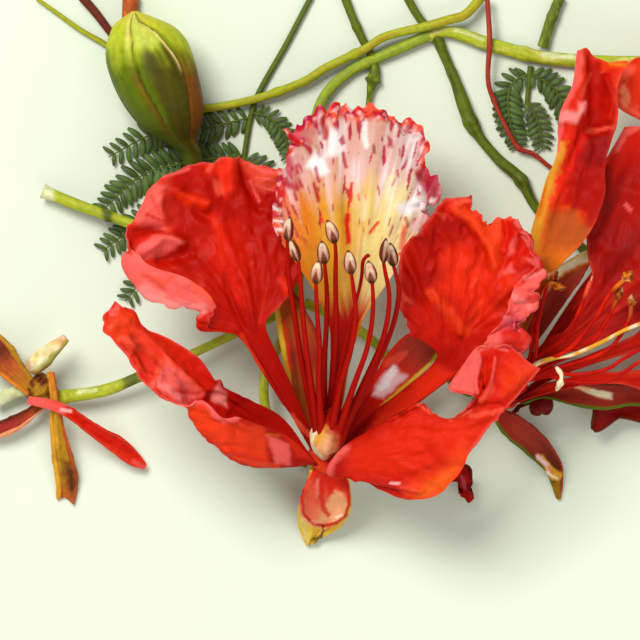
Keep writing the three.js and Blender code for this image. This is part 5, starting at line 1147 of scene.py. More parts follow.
stamens = {
    "foot": {"radius": 1.9, "height": 4.4}, "rise": 0.82, "droop": 0.0062,
    "filament": [1.15, 1, 0.8, 0.66, 0.58, 0.55, 0.52, 0.46, 0.36],
    "anther": [0.3, 0.85, 1.16, 1.28, 1.26, 1.14, 0.94, 0.62, 0.16], "antherLength": 5.3, "flatness": 0.66,
    "runs": [
        (160, [(-4.6, 18), (-6.2, 28), (-7.4, 36), (-7.7, 43.5)], (-7.2, 48.2), 0, -0.7),
        (196, [(-3.2, 16), (-4.4, 26), (-5, 34), (-5.6, 39.5)], (-7.1, 43.8), 2.2, -0.9),
        (232, [(-1.4, 15), (-1.3, 22), (-1.7, 28), (-2, 34.6)], (-1.5, 39.5), 1.6, -0.3),
        (124, [(-0.4, 18), (0, 25), (0.2, 32), (-0.2, 38)], (-0.9, 43.4), -1.6, 0),
        (88, [(1.5, 16), (2, 25), (1.9, 35), (1.8, 42.8)], (0.2, 47.5), 0.6, 0),
        (268, [(2.8, 14), (5, 22), (5.9, 29), (5.1, 36.3)], (4.4, 41.5), 1.6, 0),
        (304, [(5.4, 14), (8.2, 22), (9.3, 29), (9.2, 34.8)], (8.4, 39.4), 2, -0.2),
        (340, [(7.6, 15), (11.4, 24), (12.6, 32), (11.5, 39)], (11.9, 43.9), 0.4, 0.9),
        (16, [(8.6, 15.6), (13, 25.4), (14.5, 33), (13.4, 38.8)], (12.8, 43), -1.6, -0.4),
    ],
    "style": ([(2.2, 15), (4.6, 26), (6.9, 35), (7.4, 39.4)], (8.6, 40.6), -0.8),
    "styleRadii": [0.8, 0.6, 0.45, 0.4, 0.35, 0.4], "samples": 200,
    "filamentGrid": (14, 70), "antherGrid": (30, 30), "styleGrid": (12, 60),
}


def stamenPath(foot, run, tip, lift):
    # rises steeply from the cup and flattens towards its anther
    path = [foot[:]]
    for x, y in [*run, tip]:
        ahead = max(y - foot[1], 0)
        raised = lift * float(smooth(0, 12, ahead))
        path.append((x, y, foot[2] + stamens["rise"] * ahead - stamens["droop"] * ahead * ahead + raised))
    return path


def filamentBase(points, along, turn, ways):
    x, y = points[:, 0], points[:, 1]
    # painted light: deep red on the sides that face up, claret on those that face down, and a painted red
    # highlight where they face straight up
    colours = mixed("claret", "deepRed", 0.8 * smooth(0.2, 0.8, ways[:, 2]))
    colours = mixed(colours, "red", 0.4 * smooth(0.86, 0.99, ways[:, 2]) * smooth(30, 8, y))
    return mixed(colours, "cream", 0.6 * smooth(5, 3, y) * smooth(0, -1, x))


def antherBase(points, along, turn, ways):
    # a thin brown rim round a pale face, and a brown drop that rises from the foot
    side = np.abs(np.cos(turn)) / np.hypot(np.cos(turn), np.sin(turn) / stamens["flatness"])
    front = np.sin(turn) > 0
    face = front * (1 - smooth(0.68, 0.88, side)) * smooth(0.03, 0.1, along)
    face = face * (1 - smooth(0.86, 0.96, along))
    pale = mixed("dusk", "cream", 0.6 * smooth(0.5, 0.85, along + 0.4 * wander(points, 1, 3)))
    colours = mixed("brown", pale, face)
    drop = front * smooth(-0.14, 0.14, 0.72 * (1 - (along / 0.62) ** 2) - side)
    colours = mixed(colours, "sienna", 0.95 * drop)
    return mixed(colours, "umber", 0.8 * drop * smooth(0.36, 0.1, along))


def flattened(depth):
    def shape(along, turn, middle):
        oval = 1 / np.hypot(np.cos(turn), np.sin(turn) / depth)
        dish = (1 - smooth(0.4, 0.85, np.abs(np.cos(turn)))) * (np.sin(turn) > 0)
        return oval * (1 - 0.26 * dish * np.sin(along * math.pi))
    return shape


def stamen(foot, run, tip, lift, roll):
    path = stamenPath(foot, run, tip, lift)
    place = alongPath(path, np.linspace(0, 1, stamens["samples"]))[0]
    reach = np.linalg.norm(place - place[-1], axis=1)
    base = int(np.argmax(reach < stamens["antherLength"]))
    whole = tube(place[:base + 3:8].tolist() + [place[base + 2].tolist()], stamens["filament"],
                 *stamens["filamentGrid"], base=filamentBase)
    joinTo(whole, tube(place[base::12].tolist() + [place[-1].tolist()], stamens["anther"],
                       *stamens["antherGrid"], (math.sin(roll), 0, math.cos(roll)),
                       flattened(stamens["flatness"]), antherBase))
    return whole


for i, (angle, *run) in enumerate(stamens["runs"]):
    foot = ringPoint(mainFrame, angle, **stamens["foot"])
    addPiece(f"stamen{i + 1}", stamen(foot, *run), "filamentSkin", "stamen", f"stamen_{i + 1}")
stylePath = stamenPath(ringPoint(mainFrame, 0, 0, stamens["foot"]["height"]), *stamens["style"])
addPiece("style", tube(stylePath, stamens["styleRadii"], *stamens["styleGrid"], base=filamentBase),
         "filamentSkin", "stamen", "pistil")
print("stamens made")


# The second bloom, seen from its side

def duskyBase(*stops):
    def base(points, across, along, rim, turn, out):
        colours = shades(stops, along)
        streak = wander(np.c_[turn * 14, out * 0.05, along * 0], 1, 4)
        colours = mixed(colours, "maroon", 0.5 * smooth(0.05, 0.6, streak))
        colours = mixed(colours, "flame", 0.3 * smooth(0.1, 0.6, -streak))
        # painted highlight: the rim is lightened towards coral
        return mixed(colours, "coral", 0.4 * (1 - smooth(0.1, 0.8, rim)) * smooth(0.3, 0.45, along))
    return base


sidePetals = {
    "sideUprightPetal": {
        "angle": 92, "node": "side_petal_upright", "fan": (40, 30), "length": 58, "seed": 4,
        "guides": [
            [(37.4, 24.5, 16.6), (39.6, 36, 19.3), (41.2, 45, 21), (43.5, 53, 22), (46.3, 61, 22.5),
             (46.9, 69, 22.5), (49.4, 75, 22), (50.4, 82, 20.5)],
            [(38.3, 24.5, 16), (41.4, 36, 18.4), (44, 44.8, 19.8), (47, 52.4, 20.6), (49.4, 60.4, 21.2),
             (50.4, 68.6, 22.6), (52.2, 75, 22.4), (52.6, 82.4, 20.6)],
            [(39, 24.5, 15.8), (43.4, 36, 18.2), (47.4, 44, 19.5), (50.6, 51.6, 20.2), (52.6, 60, 20.4),
             (54.4, 68.6, 20.4), (55, 74.6, 20), (55.2, 79.6, 19)],
            [(39.8, 24.5, 16.2), (45, 36, 19), (51.8, 43.6, 20.5), (55.6, 51, 20.8), (56.4, 60, 20.6),
             (58.6, 68, 20.6), (58.6, 74, 20.4), (60.8, 79.2, 19.8)],
        ],
        "base": duskyBase("rust", "orange", "scarlet", "red", "red"),
        "ridges": [
            ridge([(46.8, 67.6), (50.4, 68.4), (52, 71)], 1, 1.1),
            ridge([(49.6, 60), (51.4, 65), (56.6, 66.4)], 1, -1.1),
            ridge([(50, 72), (51.4, 76), (51.4, 81)], 1.1, 0.9),
            ridge([(53.8, 66), (54.6, 72), (53.6, 80)], 1, -1),
            ridge([(55.4, 79.4), (60, 78.2)], 1, 1.2), ridge([(56.4, 76), (58, 72), (57, 68)], 0.8, 0.8),
            ridge([(44, 47), (48, 56)], 1.2, 0.6), ridge([(50, 56), (53, 62)], 0.9, 0.7),
        ],
        "paint": [
            line([(46.4, 62), (44, 55), (42.2, 47), (40.6, 40)], 2.4, "gold", 0.9),
            line([(43.4, 53), (42.6, 49)], 1.4, "orange", 0.9),
            area([(44.6, 49), (50, 50.6), (52.6, 45), (49, 41.6), (44, 42)], 1.4, "rust"),
            # painted highlights: pink along the lit left edge and a pale pink patch on the raised fold
            line([(46.2, 62), (47, 69), (49.8, 75), (50.6, 81)], 1.3, "pink", 0.75),
            area([(46.4, 67), (50, 67.2), (52.4, 69.6), (52, 71.6), (50.8, 71.4), (50.4, 69.4), (47, 69.6)],
                 0.5, "palePink", 0.95),
            area([(52.6, 64), (56, 67), (57.6, 74), (55, 80), (53.4, 79), (54, 72)], 1.2, "deepRed", 0.9),
            area([(49.6, 51), (55, 51), (57, 60), (58, 65.6), (54, 65), (50, 60)], 1.4, "claret", 0.85),
            area([(47.8, 51), (51, 50), (53.2, 46.4), (56.4, 50), (56, 58), (50.6, 60), (48.6, 56)], 0.8,
                 "deepRed", 0.9),
            area([(55.4, 79.8), (60.8, 80), (60.8, 77), (58, 78.2), (55.6, 77.4)], 0.5, "flame", 0.95),
            line([(57, 79), (60.4, 78.8)], 0.5, "orange"),
            line([(52.4, 65.6), (57.6, 66.2)], 0.6, "coral", 0.7),
            line([(48, 56), (49.4, 62)], 1, "scarlet", 0.7),
            line([(51.4, 72.6), (53, 77)], 0.5, "coral", 0.6),
            area([(38, 24), (41, 38), (44.6, 40), (40.4, 24)], 1, "rust"),
        ],
    },
    "sideRightPetal": {
        "angle": 57, "node": "side_petal_right", "fan": (46, 22), "length": 58, "seed": 7,
        "guides": [
            [(41.8, 21, 14.6), (45, 24, 15.8), (49, 26.5, 16.4), (53.3, 36, 17), (52.4, 44, 17.2),
             (53.6, 50.4, 17.2), (55.4, 58, 17), (60, 66.4, 16.5)],
            [(42.4, 20, 14.2), (46.4, 22.4, 15.2), (52, 25.4, 15.8), (59, 34, 16.2), (62, 43, 16.6),
             (65, 52, 16.8), (67.5, 60, 16.4), (69, 66, 16)],
            [(43, 19, 14.6), (47.6, 20.8, 15.8), (55, 22.8, 16.6), (64.5, 28, 17.6), (71, 37, 18),
             (74.5, 47, 18), (76.5, 56, 17.6), (76, 63, 17)],
        ],
        "base": duskyBase("claret", "red", "deepRed", "deepRed", "red"),
        "paint": [
            line([(58.6, 62), (60, 65), (63, 66.6)], 0.9, "pink", 0.6),
            line([(55.6, 50), (56.6, 58)], 1.6, "claret", 0.9),
            line([(60.4, 50.8), (61.2, 49.8)], 0.6, "pink", 0.9),
            area([(53, 37), (53, 45), (60, 47), (64, 42), (60, 36)], 2.4, "claret", 0.5),
        ],
    },
    "sideUpperPetal": {
        "angle": 14, "node": "side_petal_upper", "fan": (52, 30), "length": 60, "seed": 9,
        "guides": [
            [(49, 31, 11.8), (60, 46, 12.8), (66.5, 57, 13.4), (64, 66.5, 14.2), (57.5, 71.5, 15.8),
             (57, 75.5, 16.2), (62, 80, 15.8)],
            [(50, 29.8, 11.4), (61.5, 45, 12.4), (68.5, 56, 13), (69.5, 66, 13.8), (68, 73, 14.4),
             (67.5, 77.5, 14.6), (68.5, 82, 14.6)],
            [(51, 28.6, 11.8), (63, 44, 12.8), (70.5, 55, 13.6), (75, 64.5, 14.6), (78, 72, 15.4),
             (77.5, 77.5, 15.6), (75.5, 82, 15.2)],
        ],
        "base": duskyBase("claret", "red", "deepRed", "scarlet", "scarlet"),
        "ridges": [ridge([(60, 75.6), (57.6, 73.4), (60, 70.4), (63, 69)], 1.1, 1.2)],
        "paint": [line([(61, 78), (57.2, 74.6), (58, 71.6), (62.8, 68.6)], 1.8, "coral", 0.95),
                  # painted highlight: a peach stroke on the curled rim
                  line([(60, 74), (60.4, 71.6)], 1.2, "peach", 0.7)],
    },
    "sideFarPetal": {
        "angle": 338, "node": "side_petal_far", "fan": (46, 18), "length": 46, "seed": 11,
        "guides": [
            [(45, 17.4, 13.8), (53, 20.6, 14.6), (62, 24.8, 14.4), (71, 32, 13.4), (79, 38.5, 11.8),
             (85, 41, 10.5)],
            [(45.2, 16.5, 13.4), (53, 19.6, 14.2), (62.5, 23, 14), (72, 27.5, 13), (80.5, 31, 11.4),
             (87, 32.5, 9.6)],
            [(45.4, 15.6, 13.8), (53.2, 18.6, 14.6), (63, 21.3, 14.4), (72.5, 22.8, 13.2),
             (81, 23.8, 11.2), (87, 24.5, 9)],
        ],
        "base": duskyBase("claret", "red", "red", "red", "scarlet"),
    },
    "sideLowPetal": {
        "angle": 300, "node": "side_petal_low", "fan": (46, 15), "length": 46, "seed": 13,
        "guides": [
            [(44, 14.5, 15.2), (54, 16.8, 15.6), (63, 17.6, 14.4), (71, 18.6, 12.6), (79, 19.6, 10.2),
             (85, 19.2, 8)],
            [(44, 13.6, 14.8), (54, 15.8, 15.2), (63, 15.5, 14), (71, 14, 12), (79, 12.5, 9.4),
             (86, 11.5, 7)],
            [(44, 12.8, 15.2), (54, 14.8, 15.6), (63, 13.6, 14.4), (71, 8, 12.6), (79, 4, 10),
             (84.5, 3.5, 7.6)],
        ],
        "base": duskyBase("claret", "red", "red", "red", "scarlet"),
    },
}

sidePetalForm = {"grid": (120, 70), "blade": (0.35, 0.5), "teeth": [(40, 0.25, 1.6)],
                 "ripples": [(9, 0.5, 9), (21, 0.35, 4), (47, 0.18, 2.4)],
                 "creases": [(4.5, 0.6), (2, 0.3)], "crinkle": [(5, 0.4), (2, 0.16)]}
for name, petal in sidePetals.items():
    addPetal(name, sideFrame, {**sidePetalForm, **petal})

sideSepals = {
    "sideUpSepal": {
        "angle": 108, "node": "side_sepal_up", "seed": 2,
        "guides": [
            [(36.2, 24, 11.6), (41.5, 33, 13), (45.5, 37.3, 14.2), (52.5, 41.4, 14.4)],
            [(39, 23.4, 10.6), (44.8, 31.4, 12), (48.5, 36.5, 13.4), (53, 40.8, 14)],
            [(41.6, 22.6, 11.6), (47.8, 30.8, 13), (51.3, 35.8, 14.2), (53.4, 39.8, 14.4)],
        ],
        "base": calyxBase(("red", "mauve", "mauve", "rust"), "straw", "mauve", 0.6),
        # the sepal's own pale upper margin, painted bright cream and yellow as painted light against the
        # shade that the petal above casts on it
        "paint": [line([(44.2, 34.4), (48, 37.4), (52.4, 39.6)], 1.2, "orange"),
                  area([(40.6, 33.4), (44.4, 38), (48.4, 40.6), (53.4, 42), (53.4, 39.8), (48, 37.2),
                        (43, 32)], 0.4, "cream", 1),
                  line([(42, 34), (46, 38.2), (53, 41.4)], 0.6, "yellow", 0.5)],
    },
    "sideRightSepal": {
        "angle": 357, "node": "side_sepal_right", "seed": 3,
        "guides": [
            [(44.6, 14.8, 11), (50, 15.2, 11.5), (56, 14.8, 11.2), (62, 14.3, 10.4), (68, 12.9, 8.8),
             (73, 10.6, 7)],
            [(44.2, 13.2, 10.2), (50, 12.9, 10.6), (56, 12.2, 10.2), (62, 12.4, 9.2), (68, 11.4, 7.6),
             (73.4, 9.7, 6.2)],
            [(44.2, 12, 10.8), (50, 10.4, 11.5), (56, 9.7, 11.2), (62, 10.6, 10.2), (68, 9.9, 8.6),
             (73.2, 8.8, 6.8)],
        ],
        "base": calyxBase(("claret", "mauve", "mauve", "mauve"), "brown", "moss", 0.76),
        # painted highlight: a cream patch with an apricot stroke
        "paint": [area([(50, 14.2), (53.6, 14), (57.8, 13), (57.6, 11.4), (54, 12.2)], 0.35, "cream", 1),
                  line([(50.4, 14), (53, 13.6)], 0.4, "apricot")],
    },
    "sideLowSepal": {
        "angle": 237, "node": "side_sepal_low", "seed": 4,
        "guides": [
            [(38.6, 8.2, 10.6), (42.8, 5.2, 7.8), (46.2, 1.2, 4.9), (47.9, -2.6, 2.5), (47.5, -8.6, 0.9)],
            [(37, 6.6, 10), (41, 3.4, 7), (44.6, -0.5, 4.3), (46.6, -3.5, 2.1), (47.1, -8.8, 0.8)],
            [(35.4, 5.2, 10.6), (38.9, 1.9, 7.7), (42.8, -1.5, 4.9), (45.2, -4.2, 2.5), (46.7, -8.6, 0.9)],
        ],
        "base": calyxBase(("claret", "mauve", "brown", "brown"), "mauve", "moss", 0.7),
        "ridges": [ridge([(43.6, 0.4), (46.6, -3.6)], 0.8, 0.5)],
        "paint": [
            area([(42.4, 0.4), (43.8, 0.4), (45.6, -2.2), (47.8, -3.4), (47, -5), (45, -4), (43.8, -1.8)],
                 0.3, "gold", 0.9),
            line([(42.8, 0), (44.6, -1.8), (45.2, -2.8)], 0.6, "blush", 0.95),
            line([(45, -2.2), (46, -3.4)], 0.4, "orange", 0.9),
            line([(44.6, -3.2), (46.8, -4.4)], 0.35, "cream", 0.9),
            line([(46.8, -5.6), (47.1, -8.8)], 0.9, "ochre", 0.7),
        ],
    },
    "sideMaroonSepal": {
        "angle": 303, "node": "side_sepal_maroon", "seed": 5,
        "foot": {"radius": 4.7, "height": -1, "width": 1.6},
        "guides": [
            [(44.6, 12.2, 7.2), (50, 13, 7.2), (56, 12.4, 6.6), (61, 12, 5.6), (67, 11, 4.2), (72, 8.5, 3)],
            [(44.2, 11.8, 6.8), (50, 12.4, 6.8), (56, 9.6, 6.2), (61, 9.6, 5.2), (67, 8.6, 3.8),
             (72.5, 6.8, 2.6)],
            [(44, 11.4, 7), (50.6, 11.8, 7.2), (56.6, 8.4, 6.4), (61, 7.6, 5.6), (67, 6, 4), (72, 5, 2.8)],
        ],
        "pulls": [pull(56.6, 8.2, 2.8, (-2.2, -3.4, -0.4))],
        "curl": {"path": [(44.8, 12.8, 9.2), (43.8, 10.9, 8.6), (42.6, 9.6, 8), (43, 8.4, 7.6)],
                 "radii": [0.8, 1.6, 2.2, 2.2, 1.4, 0.5], "sides": 24, "steps": 24},
        "base": calyxBase(("maroon", "maroon", "claret", "maroon"), "maroon", "brown"),
    },
    "sideLeftSepal": {
        "angle": 176, "node": "side_sepal_left", "seed": 6,
        "guides": [
            [(28.6, 12.4, 13.6), (24.6, 15, 12.4), (22, 19.4, 10.8), (22.4, 25, 9)],
            [(29, 15, 12.8), (25.8, 17.8, 11.6), (23.8, 21.6, 10), (23, 25.8, 8.6)],
            [(30, 17.6, 13.4), (27.6, 20.6, 12.2), (25.8, 23.8, 10.4), (23.8, 26.2, 9)],
        ],
        "base": calyxBase(("mauve", "claret", "mauve"), "moss", "moss"),
    },
}
addSepals(sideFrame, sideSepals)
addReceptacle("sideReceptacle", sideFrame, "side_receptacle")

sideFilaments = {
    "collar": [1.6, 2, 2.4, 2.5, 2.4],
    "radii": [0.6, 0.5, 0.45, 0.42, 0.4, 0.45], "style": 5,
    "flake": [(46.2, 18.2, 22.8), (47.2, 16.6, 23.2), (47, 15, 23), (46.2, 13.4, 22)],
    "runs": [
        ([(41, 20, 17.5), (41.8, 28, 20), (43.6, 34.6, 20.5), (45.6, 36.4, 20.5)], "rust", 1.1),
        ([(41.8, 19.4, 18), (42.6, 27, 21), (44.6, 34.6, 21.6), (46.8, 34.2, 21.2)], "orange", 0.9),
        ([(43, 20.4, 18), (48, 24, 20.5), (50.6, 29, 22), (53, 35.2, 23)], "coral", 0.35),
        ([(43.6, 19, 19), (49, 22, 22.5), (54, 28, 24.4), (57, 33, 25), (60.6, 36.4, 25)], "orange", 1.1),
        ([(45, 18.6, 18.5), (52, 22, 21), (56, 27, 22.4), (58.8, 33, 23.4)], "rust", 0.9),
        ([(42, 18.6, 19.5), (46, 20, 20.6), (50, 20.8, 21.4), (55, 23, 22.4), (60, 25.6, 23),
          (66, 28, 23.4)], "orange", 0.5),
        ([(45, 17.6, 18), (52, 19.6, 20), (57, 22, 21.4), (60.6, 27, 22), (61.4, 31.6, 22)], "rust", 0.9),
        ([(44.8, 17, 17.6), (50, 16.6, 19.4), (56, 17.6, 20.4), (60, 20, 21), (67, 24, 21.4)], "coral",
         0.7),
        ([(44.6, 16.4, 17.2), (48, 15.4, 18.6), (54, 15, 19.4), (58, 16, 20), (66, 21.4, 20.6)], "rust",
         0.8),
    ],
}


def witheredThread(ink, pale):
    def base(points, along, turn, ways):
        colours = mixed("deepRed", "red", smooth(-0.2, 0.5, wander(points, 3, 4)))
        # painted shade: maroon on the sides that face down
        colours = mixed(colours, "maroon", 0.6 * smooth(0, 0.8, -ways[:, 2]))
        bleached = mixed("gold", "cream", smooth(0, 0.5, wander(points, 2.4, 9)))
        colours = mixed(colours, bleached, pale * smooth(0.1, 0.16, along))
        return mixed(colours, ink, 0.85 * smooth(0.86, 0.93, along))
    return base


def witheredBase(light, dark, stain):
    def base(points, along, turn, ways):
        fold = wander(np.c_[np.cos(turn) * 2, np.sin(turn) * 2, along * 3], 1, 5)
        colours = mixed(light, dark, smooth(-0.2, 0.3, fold))
        return mixed(colours, stain, 0.7 * smooth(0.05, 0.4, wander(points, 1.8, 7)))
    return base


collarPath = [ringPoint(sideFrame, 0, 0, height)[:] for height in (0.3, 1.6, 3.2, 4.6)]
sideCluster = tube(collarPath, sideFilaments["collar"], 24, 16, (0, 1, 0), base=plain("red", "maroon"))
for i, (run, ink, knob) in enumerate(sideFilaments["runs"]):
    path = [ringPoint(sideFrame, 0, 0, 3.4)[:], *run]
    joinTo(sideCluster, tube(path, sideFilaments["radii"], 10, 50, (-0.6, 0.8, 0),
                             base=witheredThread(ink, float(i == sideFilaments["style"]))))
    end, before = Vector(run[-1]), Vector(run[-2])
    way = (end - before).normalized()
    head = [(end - way * 1.6)[:], end[:], (end + way * 1.4)[:]]
    joinTo(sideCluster, tube(head, [0.2, knob, knob * 0.8, 0.15], 18, 16, shape=lumpy(5, 0.7, i),
                             base=witheredBase(ink, "brown", "apricot")))
joinTo(sideCluster,
       tube(sideFilaments["flake"], [0.25, 0.5, 0.4, 0.35, 0.75, 0.6, 0.2], 14, 24, shape=lumpy(4, 0.4, 9),
                         base=plain("cream", "peach")))
addPiece("shrivelledStamens", sideCluster, "filamentSkin", "stamen", "side_stamens")
print("second bloom made")


# The bud: five valves that overlap at their seams

budShape = {
    "path": [(-26.5, 58.8, 8.6), (-27.3, 61.4, 9), (-29.8, 64, 9.6), (-31.3, 66.6, 10.2),
             (-32.2, 69.2, 10.6), (-33.1, 71.8, 10.8), (-34, 74.4, 10.8), (-34.8, 77, 10.8),
             (-35.5, 79.6, 10.8), (-36, 82.2, 10.6), (-36.3, 84.8, 10.4), (-37.1, 87.4, 10.1),
             (-38.5, 89.9, 9.8)],
    "radii": [1.9, 2.2, 3.7, 5.9, 7.3, 8.15, 8.6, 8.7, 8.65, 8.3, 7.4, 5.4, 0.5],
    "firstSeam": [(0.18, 81.5), (0.28, 81), (0.39, 77), (0.49, 72.7), (0.6, 70), (0.74, 68.8), (0.84, 66.7),
                  (1, 66)],
    "secondSeam": [(0.2, 133), (0.36, 131), (0.52, 136), (0.61, 137.4), (0.67, 134.8), (0.72, 129),
                   (0.78, 120.4),
                   (0.85, 109.8), (0.89, 97.4), (0.93, 82), (1, 78)],
    "lap": 0.05, "groove": 0.045, "valves": 5, "sides": 150, "steps": 90,
}


def seamAngle(name, along):
    return np.radians(np.interp(along, *zip(*budShape[name])))


def valvePlace(along, turn):
    # whole part: the valve, counted round from the first seam; the rest: 0 to 1 across that valve
    first = seamAngle("firstSeam", along)
    span = seamAngle("secondSeam", along) - first
    past = (turn - first) % math.tau
    others = budShape["valves"] - 1
    return np.where(past < span, past / span, 1 + (past - span) / (math.tau - span) * others)


def valved(along, turn, middle):
    share = valvePlace(along, turn) % 1
    open = smooth(0.12, 0.4, along)
    step = budShape["lap"] * (share - 0.5)
    groove = budShape["groove"] * (np.exp(-(share / 0.05) ** 2) + np.exp(-((1 - share) / 0.04) ** 2))
    swell = 0.035 * np.sin(share * math.pi)
    return 1 + open * (step - groove + swell) + 0.015 * np.sin(along * 11 + turn * 2)


def budBase(points, along, turn, ways):
    y = points[:, 1]
    place = valvePlace(along, turn)
    share = place % 1
    central, right, left = place < 1, (place >= 1) & (place < 2), place >= 4
    level = y + 2.5 * wander(points, 5, 3) + 1.5 * wander(np.c_[share * 9, along * 1.5, place * 0], 1, 8)
    colours = mixed("olive", "moss", smooth(61, 72, level))
    colours = mixed(colours, "lime", smooth(77.5, 83, level))
    colours = mixed(colours, "yellow", 0.3 * smooth(85, 89, level))
    colours = mixed(colours, "pale", 0.12 * central * smooth(81, 84, level))
    # painted shade: the middle valve is darkened to bark below its top
    colours = mixed(colours, "bark",
                    0.9 * central * smooth(0.04, 0.34, share) * (1 - smooth(79, 83.4, level)))
    colours = mixed(colours, "sienna", 0.85 * right * (1 - smooth(76, 83, level)) * smooth(61, 66, y))
    colours = mixed(colours, "moss", 0.7 * right * (1 - smooth(0.06, 0.16, share)) * smooth(79, 82, y))
    hem = left * smooth(0.75, 0.98, share) * (1 - smooth(75, 80, level)) * smooth(61, 66, y)
    colours = mixed(colours, "sienna", 0.5 * hem)
    # painted highlight: a straw line along the middle valve's lit edge at the second seam
    edge = central * np.exp(-((share - 0.93) / 0.05) ** 2) * smooth(76.5, 80, y)
    colours = mixed(colours, "straw", 0.9 * edge)
    lip = left * np.exp(-((share - 0.93) / 0.06) ** 2) * smooth(80, 85, y)
    colours = mixed(colours, "straw", 0.5 * lip)
    seam = (np.exp(-(share / 0.016) ** 2) + np.exp(-((1 - share) / 0.016) ** 2)) * smooth(0.12, 0.3, along)
    return mixed(colours, "umber", 0.8 * seam)


closedBud = bodyOf(budShape, shape=valved, base=budBase, level=(0, 1, 0))
addPiece("closedBud", closedBud, "budSkin", "bud", "bud")
print("bud made")


# The withered bloom: a shrunken cup, what is left of its sepals, its fallen fruit's stub and one petal

witheredCup = {"path": [(-54.6, 12, 4.2), (-57, 13.4, 4.4), (-59.4, 15.8, 4.6)],
               "radii": [1.4, 2, 2.9, 3.3, 3.2, 2.7, 1.6], "sides": 30, "steps": 30}
addPiece("shrunkenCup",
         bodyOf(witheredCup, shape=lumpy(9, 0.34, 2), base=witheredBase("ochre", "sienna", "brown")),
         "witheredSkin", "withered_sepal", "withered_cup")

witheredSepals = {
    "witheredHangingSepal": {
        "node": "withered_sepal_hanging", "seed": 2,
        "guides": [
            [(-56.4, 17, 7.6), (-55.8, 12, 7.8), (-55.8, 6, 6.5), (-55.4, 0, 4.4), (-54.8, -4.6, 2.3),
             (-54.4, -8.8, 0.9)],
            [(-55.6, 17.2, 7.8), (-54.8, 12, 8), (-54.2, 6, 6.7), (-53.4, 0, 4.2), (-52.6, -4.8, 1.9),
             (-52.8, -8.4, 0.8)],
            [(-54.8, 17, 7.6), (-53.9, 12, 7.8), (-52.8, 6, 6.5), (-51.2, 0, 4.4), (-50.3, -4.6, 2.3),
             (-51, -9.8, 0.9)],
        ],
        # the gold left margin is a painted highlight along the lit left edge
        "base": calyxBase(("orange", "ochre", "ochre", "ochre", "rust"), "gold", "rust", 0.5),
        "paint": [
            area([(-53.4, -0.6), (-51.4, -1), (-50.2, -5), (-51.4, -8), (-53, -6)], 1, "sienna", 0.9),
            line([(-51.8, -3), (-51.4, -6.4)], 0.8, "umber", 0.6),
            line([(-56.2, 15.6), (-56, 11)], 0.5, "brown"),
            line([(-54.8, 13), (-54.4, 2)], 0.6, "gold", 0.7),
        ],
    },
    "witheredLeftSepal": {
        "node": "withered_sepal_left", "seed": 3,
        "guides": [
            [(-59.8, 12, 5.8), (-65.6, 16.4, 6.6), (-69, 20.4, 7.4), (-72.4, 24.6, 7.2), (-74, 28.2, 6.2)],
            [(-59, 13.4, 5.7), (-64, 17.8, 6.1), (-66.6, 21.6, 6.6), (-70.2, 25.4, 6.6), (-73.6, 28.8, 6)],
            [(-58.2, 14.8, 5.8), (-61.2, 18.6, 6.6), (-63.4, 22.2, 7.4), (-67.6, 26, 7.2),
             (-73, 29.2, 6.2)],
        ],
        "base": calyxBase(("ochre", "rust", "brown", "mauve", "rust"), "orange", "ochre", 0.62),
    },
    "witheredLowSepal": {
        "node": "withered_sepal_low", "seed": 4,
        "guides": [
            [(-57.4, 11.4, 4.6), (-61, 9.2, 4.8), (-64.6, 7.6, 4.4), (-68, 6, 3.4), (-71, 3.6, 2.2)],
            [(-57, 10.8, 4.4), (-61, 7.8, 4.2), (-65, 6, 3.8), (-68.4, 4.6, 2.8), (-71.2, 3, 2)],
            [(-56.8, 10, 4.6), (-61, 6.4, 4.8), (-65, 4.4, 4.4), (-68.6, 3.2, 3.2), (-71.2, 2.4, 2.2)],
        ],
        "base": calyxBase(("rust", "mauve", "mauve", "rust"), "brown", "peach", 0.6),
    },
}
witheredForm = {"grid": (70, 40), "blade": (0.02, 0.15), "length": 20, "thickness": 0.7,
                "crinkle": [(2.4, 0.3), (1, 0.12)]}
for name, sepal in witheredSepals.items():
    addPiece(name, sheet({**witheredForm, **sepal}), "witheredSkin", "withered_sepal", sepal["node"])

rolledSepal = {"path": [(-59.6, 17.8, 6.9), (-58, 19, 7.8), (-55.6, 21.2, 8.4), (-52.4, 24, 8.8)],
               "radii": [1.5, 2, 1.95, 1.7, 1.45, 1.2, 0.8], "sides": 30, "steps": 34}
witheredStub = {"path": [(-60.9, 13.4, 3.8), (-64, 12.6, 3.4), (-67, 10.6, 3)],
                "radii": [1, 1.25, 1.3, 1.15, 0.9], "sides": 24, "steps": 24}


def rolledBase(points, along, turn, ways):
    colours = mixed("cream", "straw", smooth(-0.3, 0.3, wander(points, 2, 4)))
    colours = mixed(colours, "peach", 0.5 * smooth(0.6, 0.9, along))
    # painted shade: the side turned away from the light is darkened to citrine and sienna
    under = 0.5 * ways[:, 0] - 0.85 * ways[:, 1]
    colours = mixed(colours, "citrine", 0.8 * smooth(0.1, 0.5, under))
    colours = mixed(colours, "sienna", 0.7 * smooth(0.5, 0.95, under))
    return mixed(colours, "rust", 0.6 * (1 - smooth(0.06, 0.24, along)))


addPiece("rolledSepal", bodyOf(rolledSepal, shape=lumpy(5, 0.16, 5), base=rolledBase), "witheredSkin",
         "rolled_sepal", "withered_sepal_rolled")
addPiece("fruitStub", bodyOf(witheredStub, shape=lumpy(5, 0.1, 6), base=plain("pale", "lime")),
         "witheredSkin", "rolled_sepal", "withered_stub")

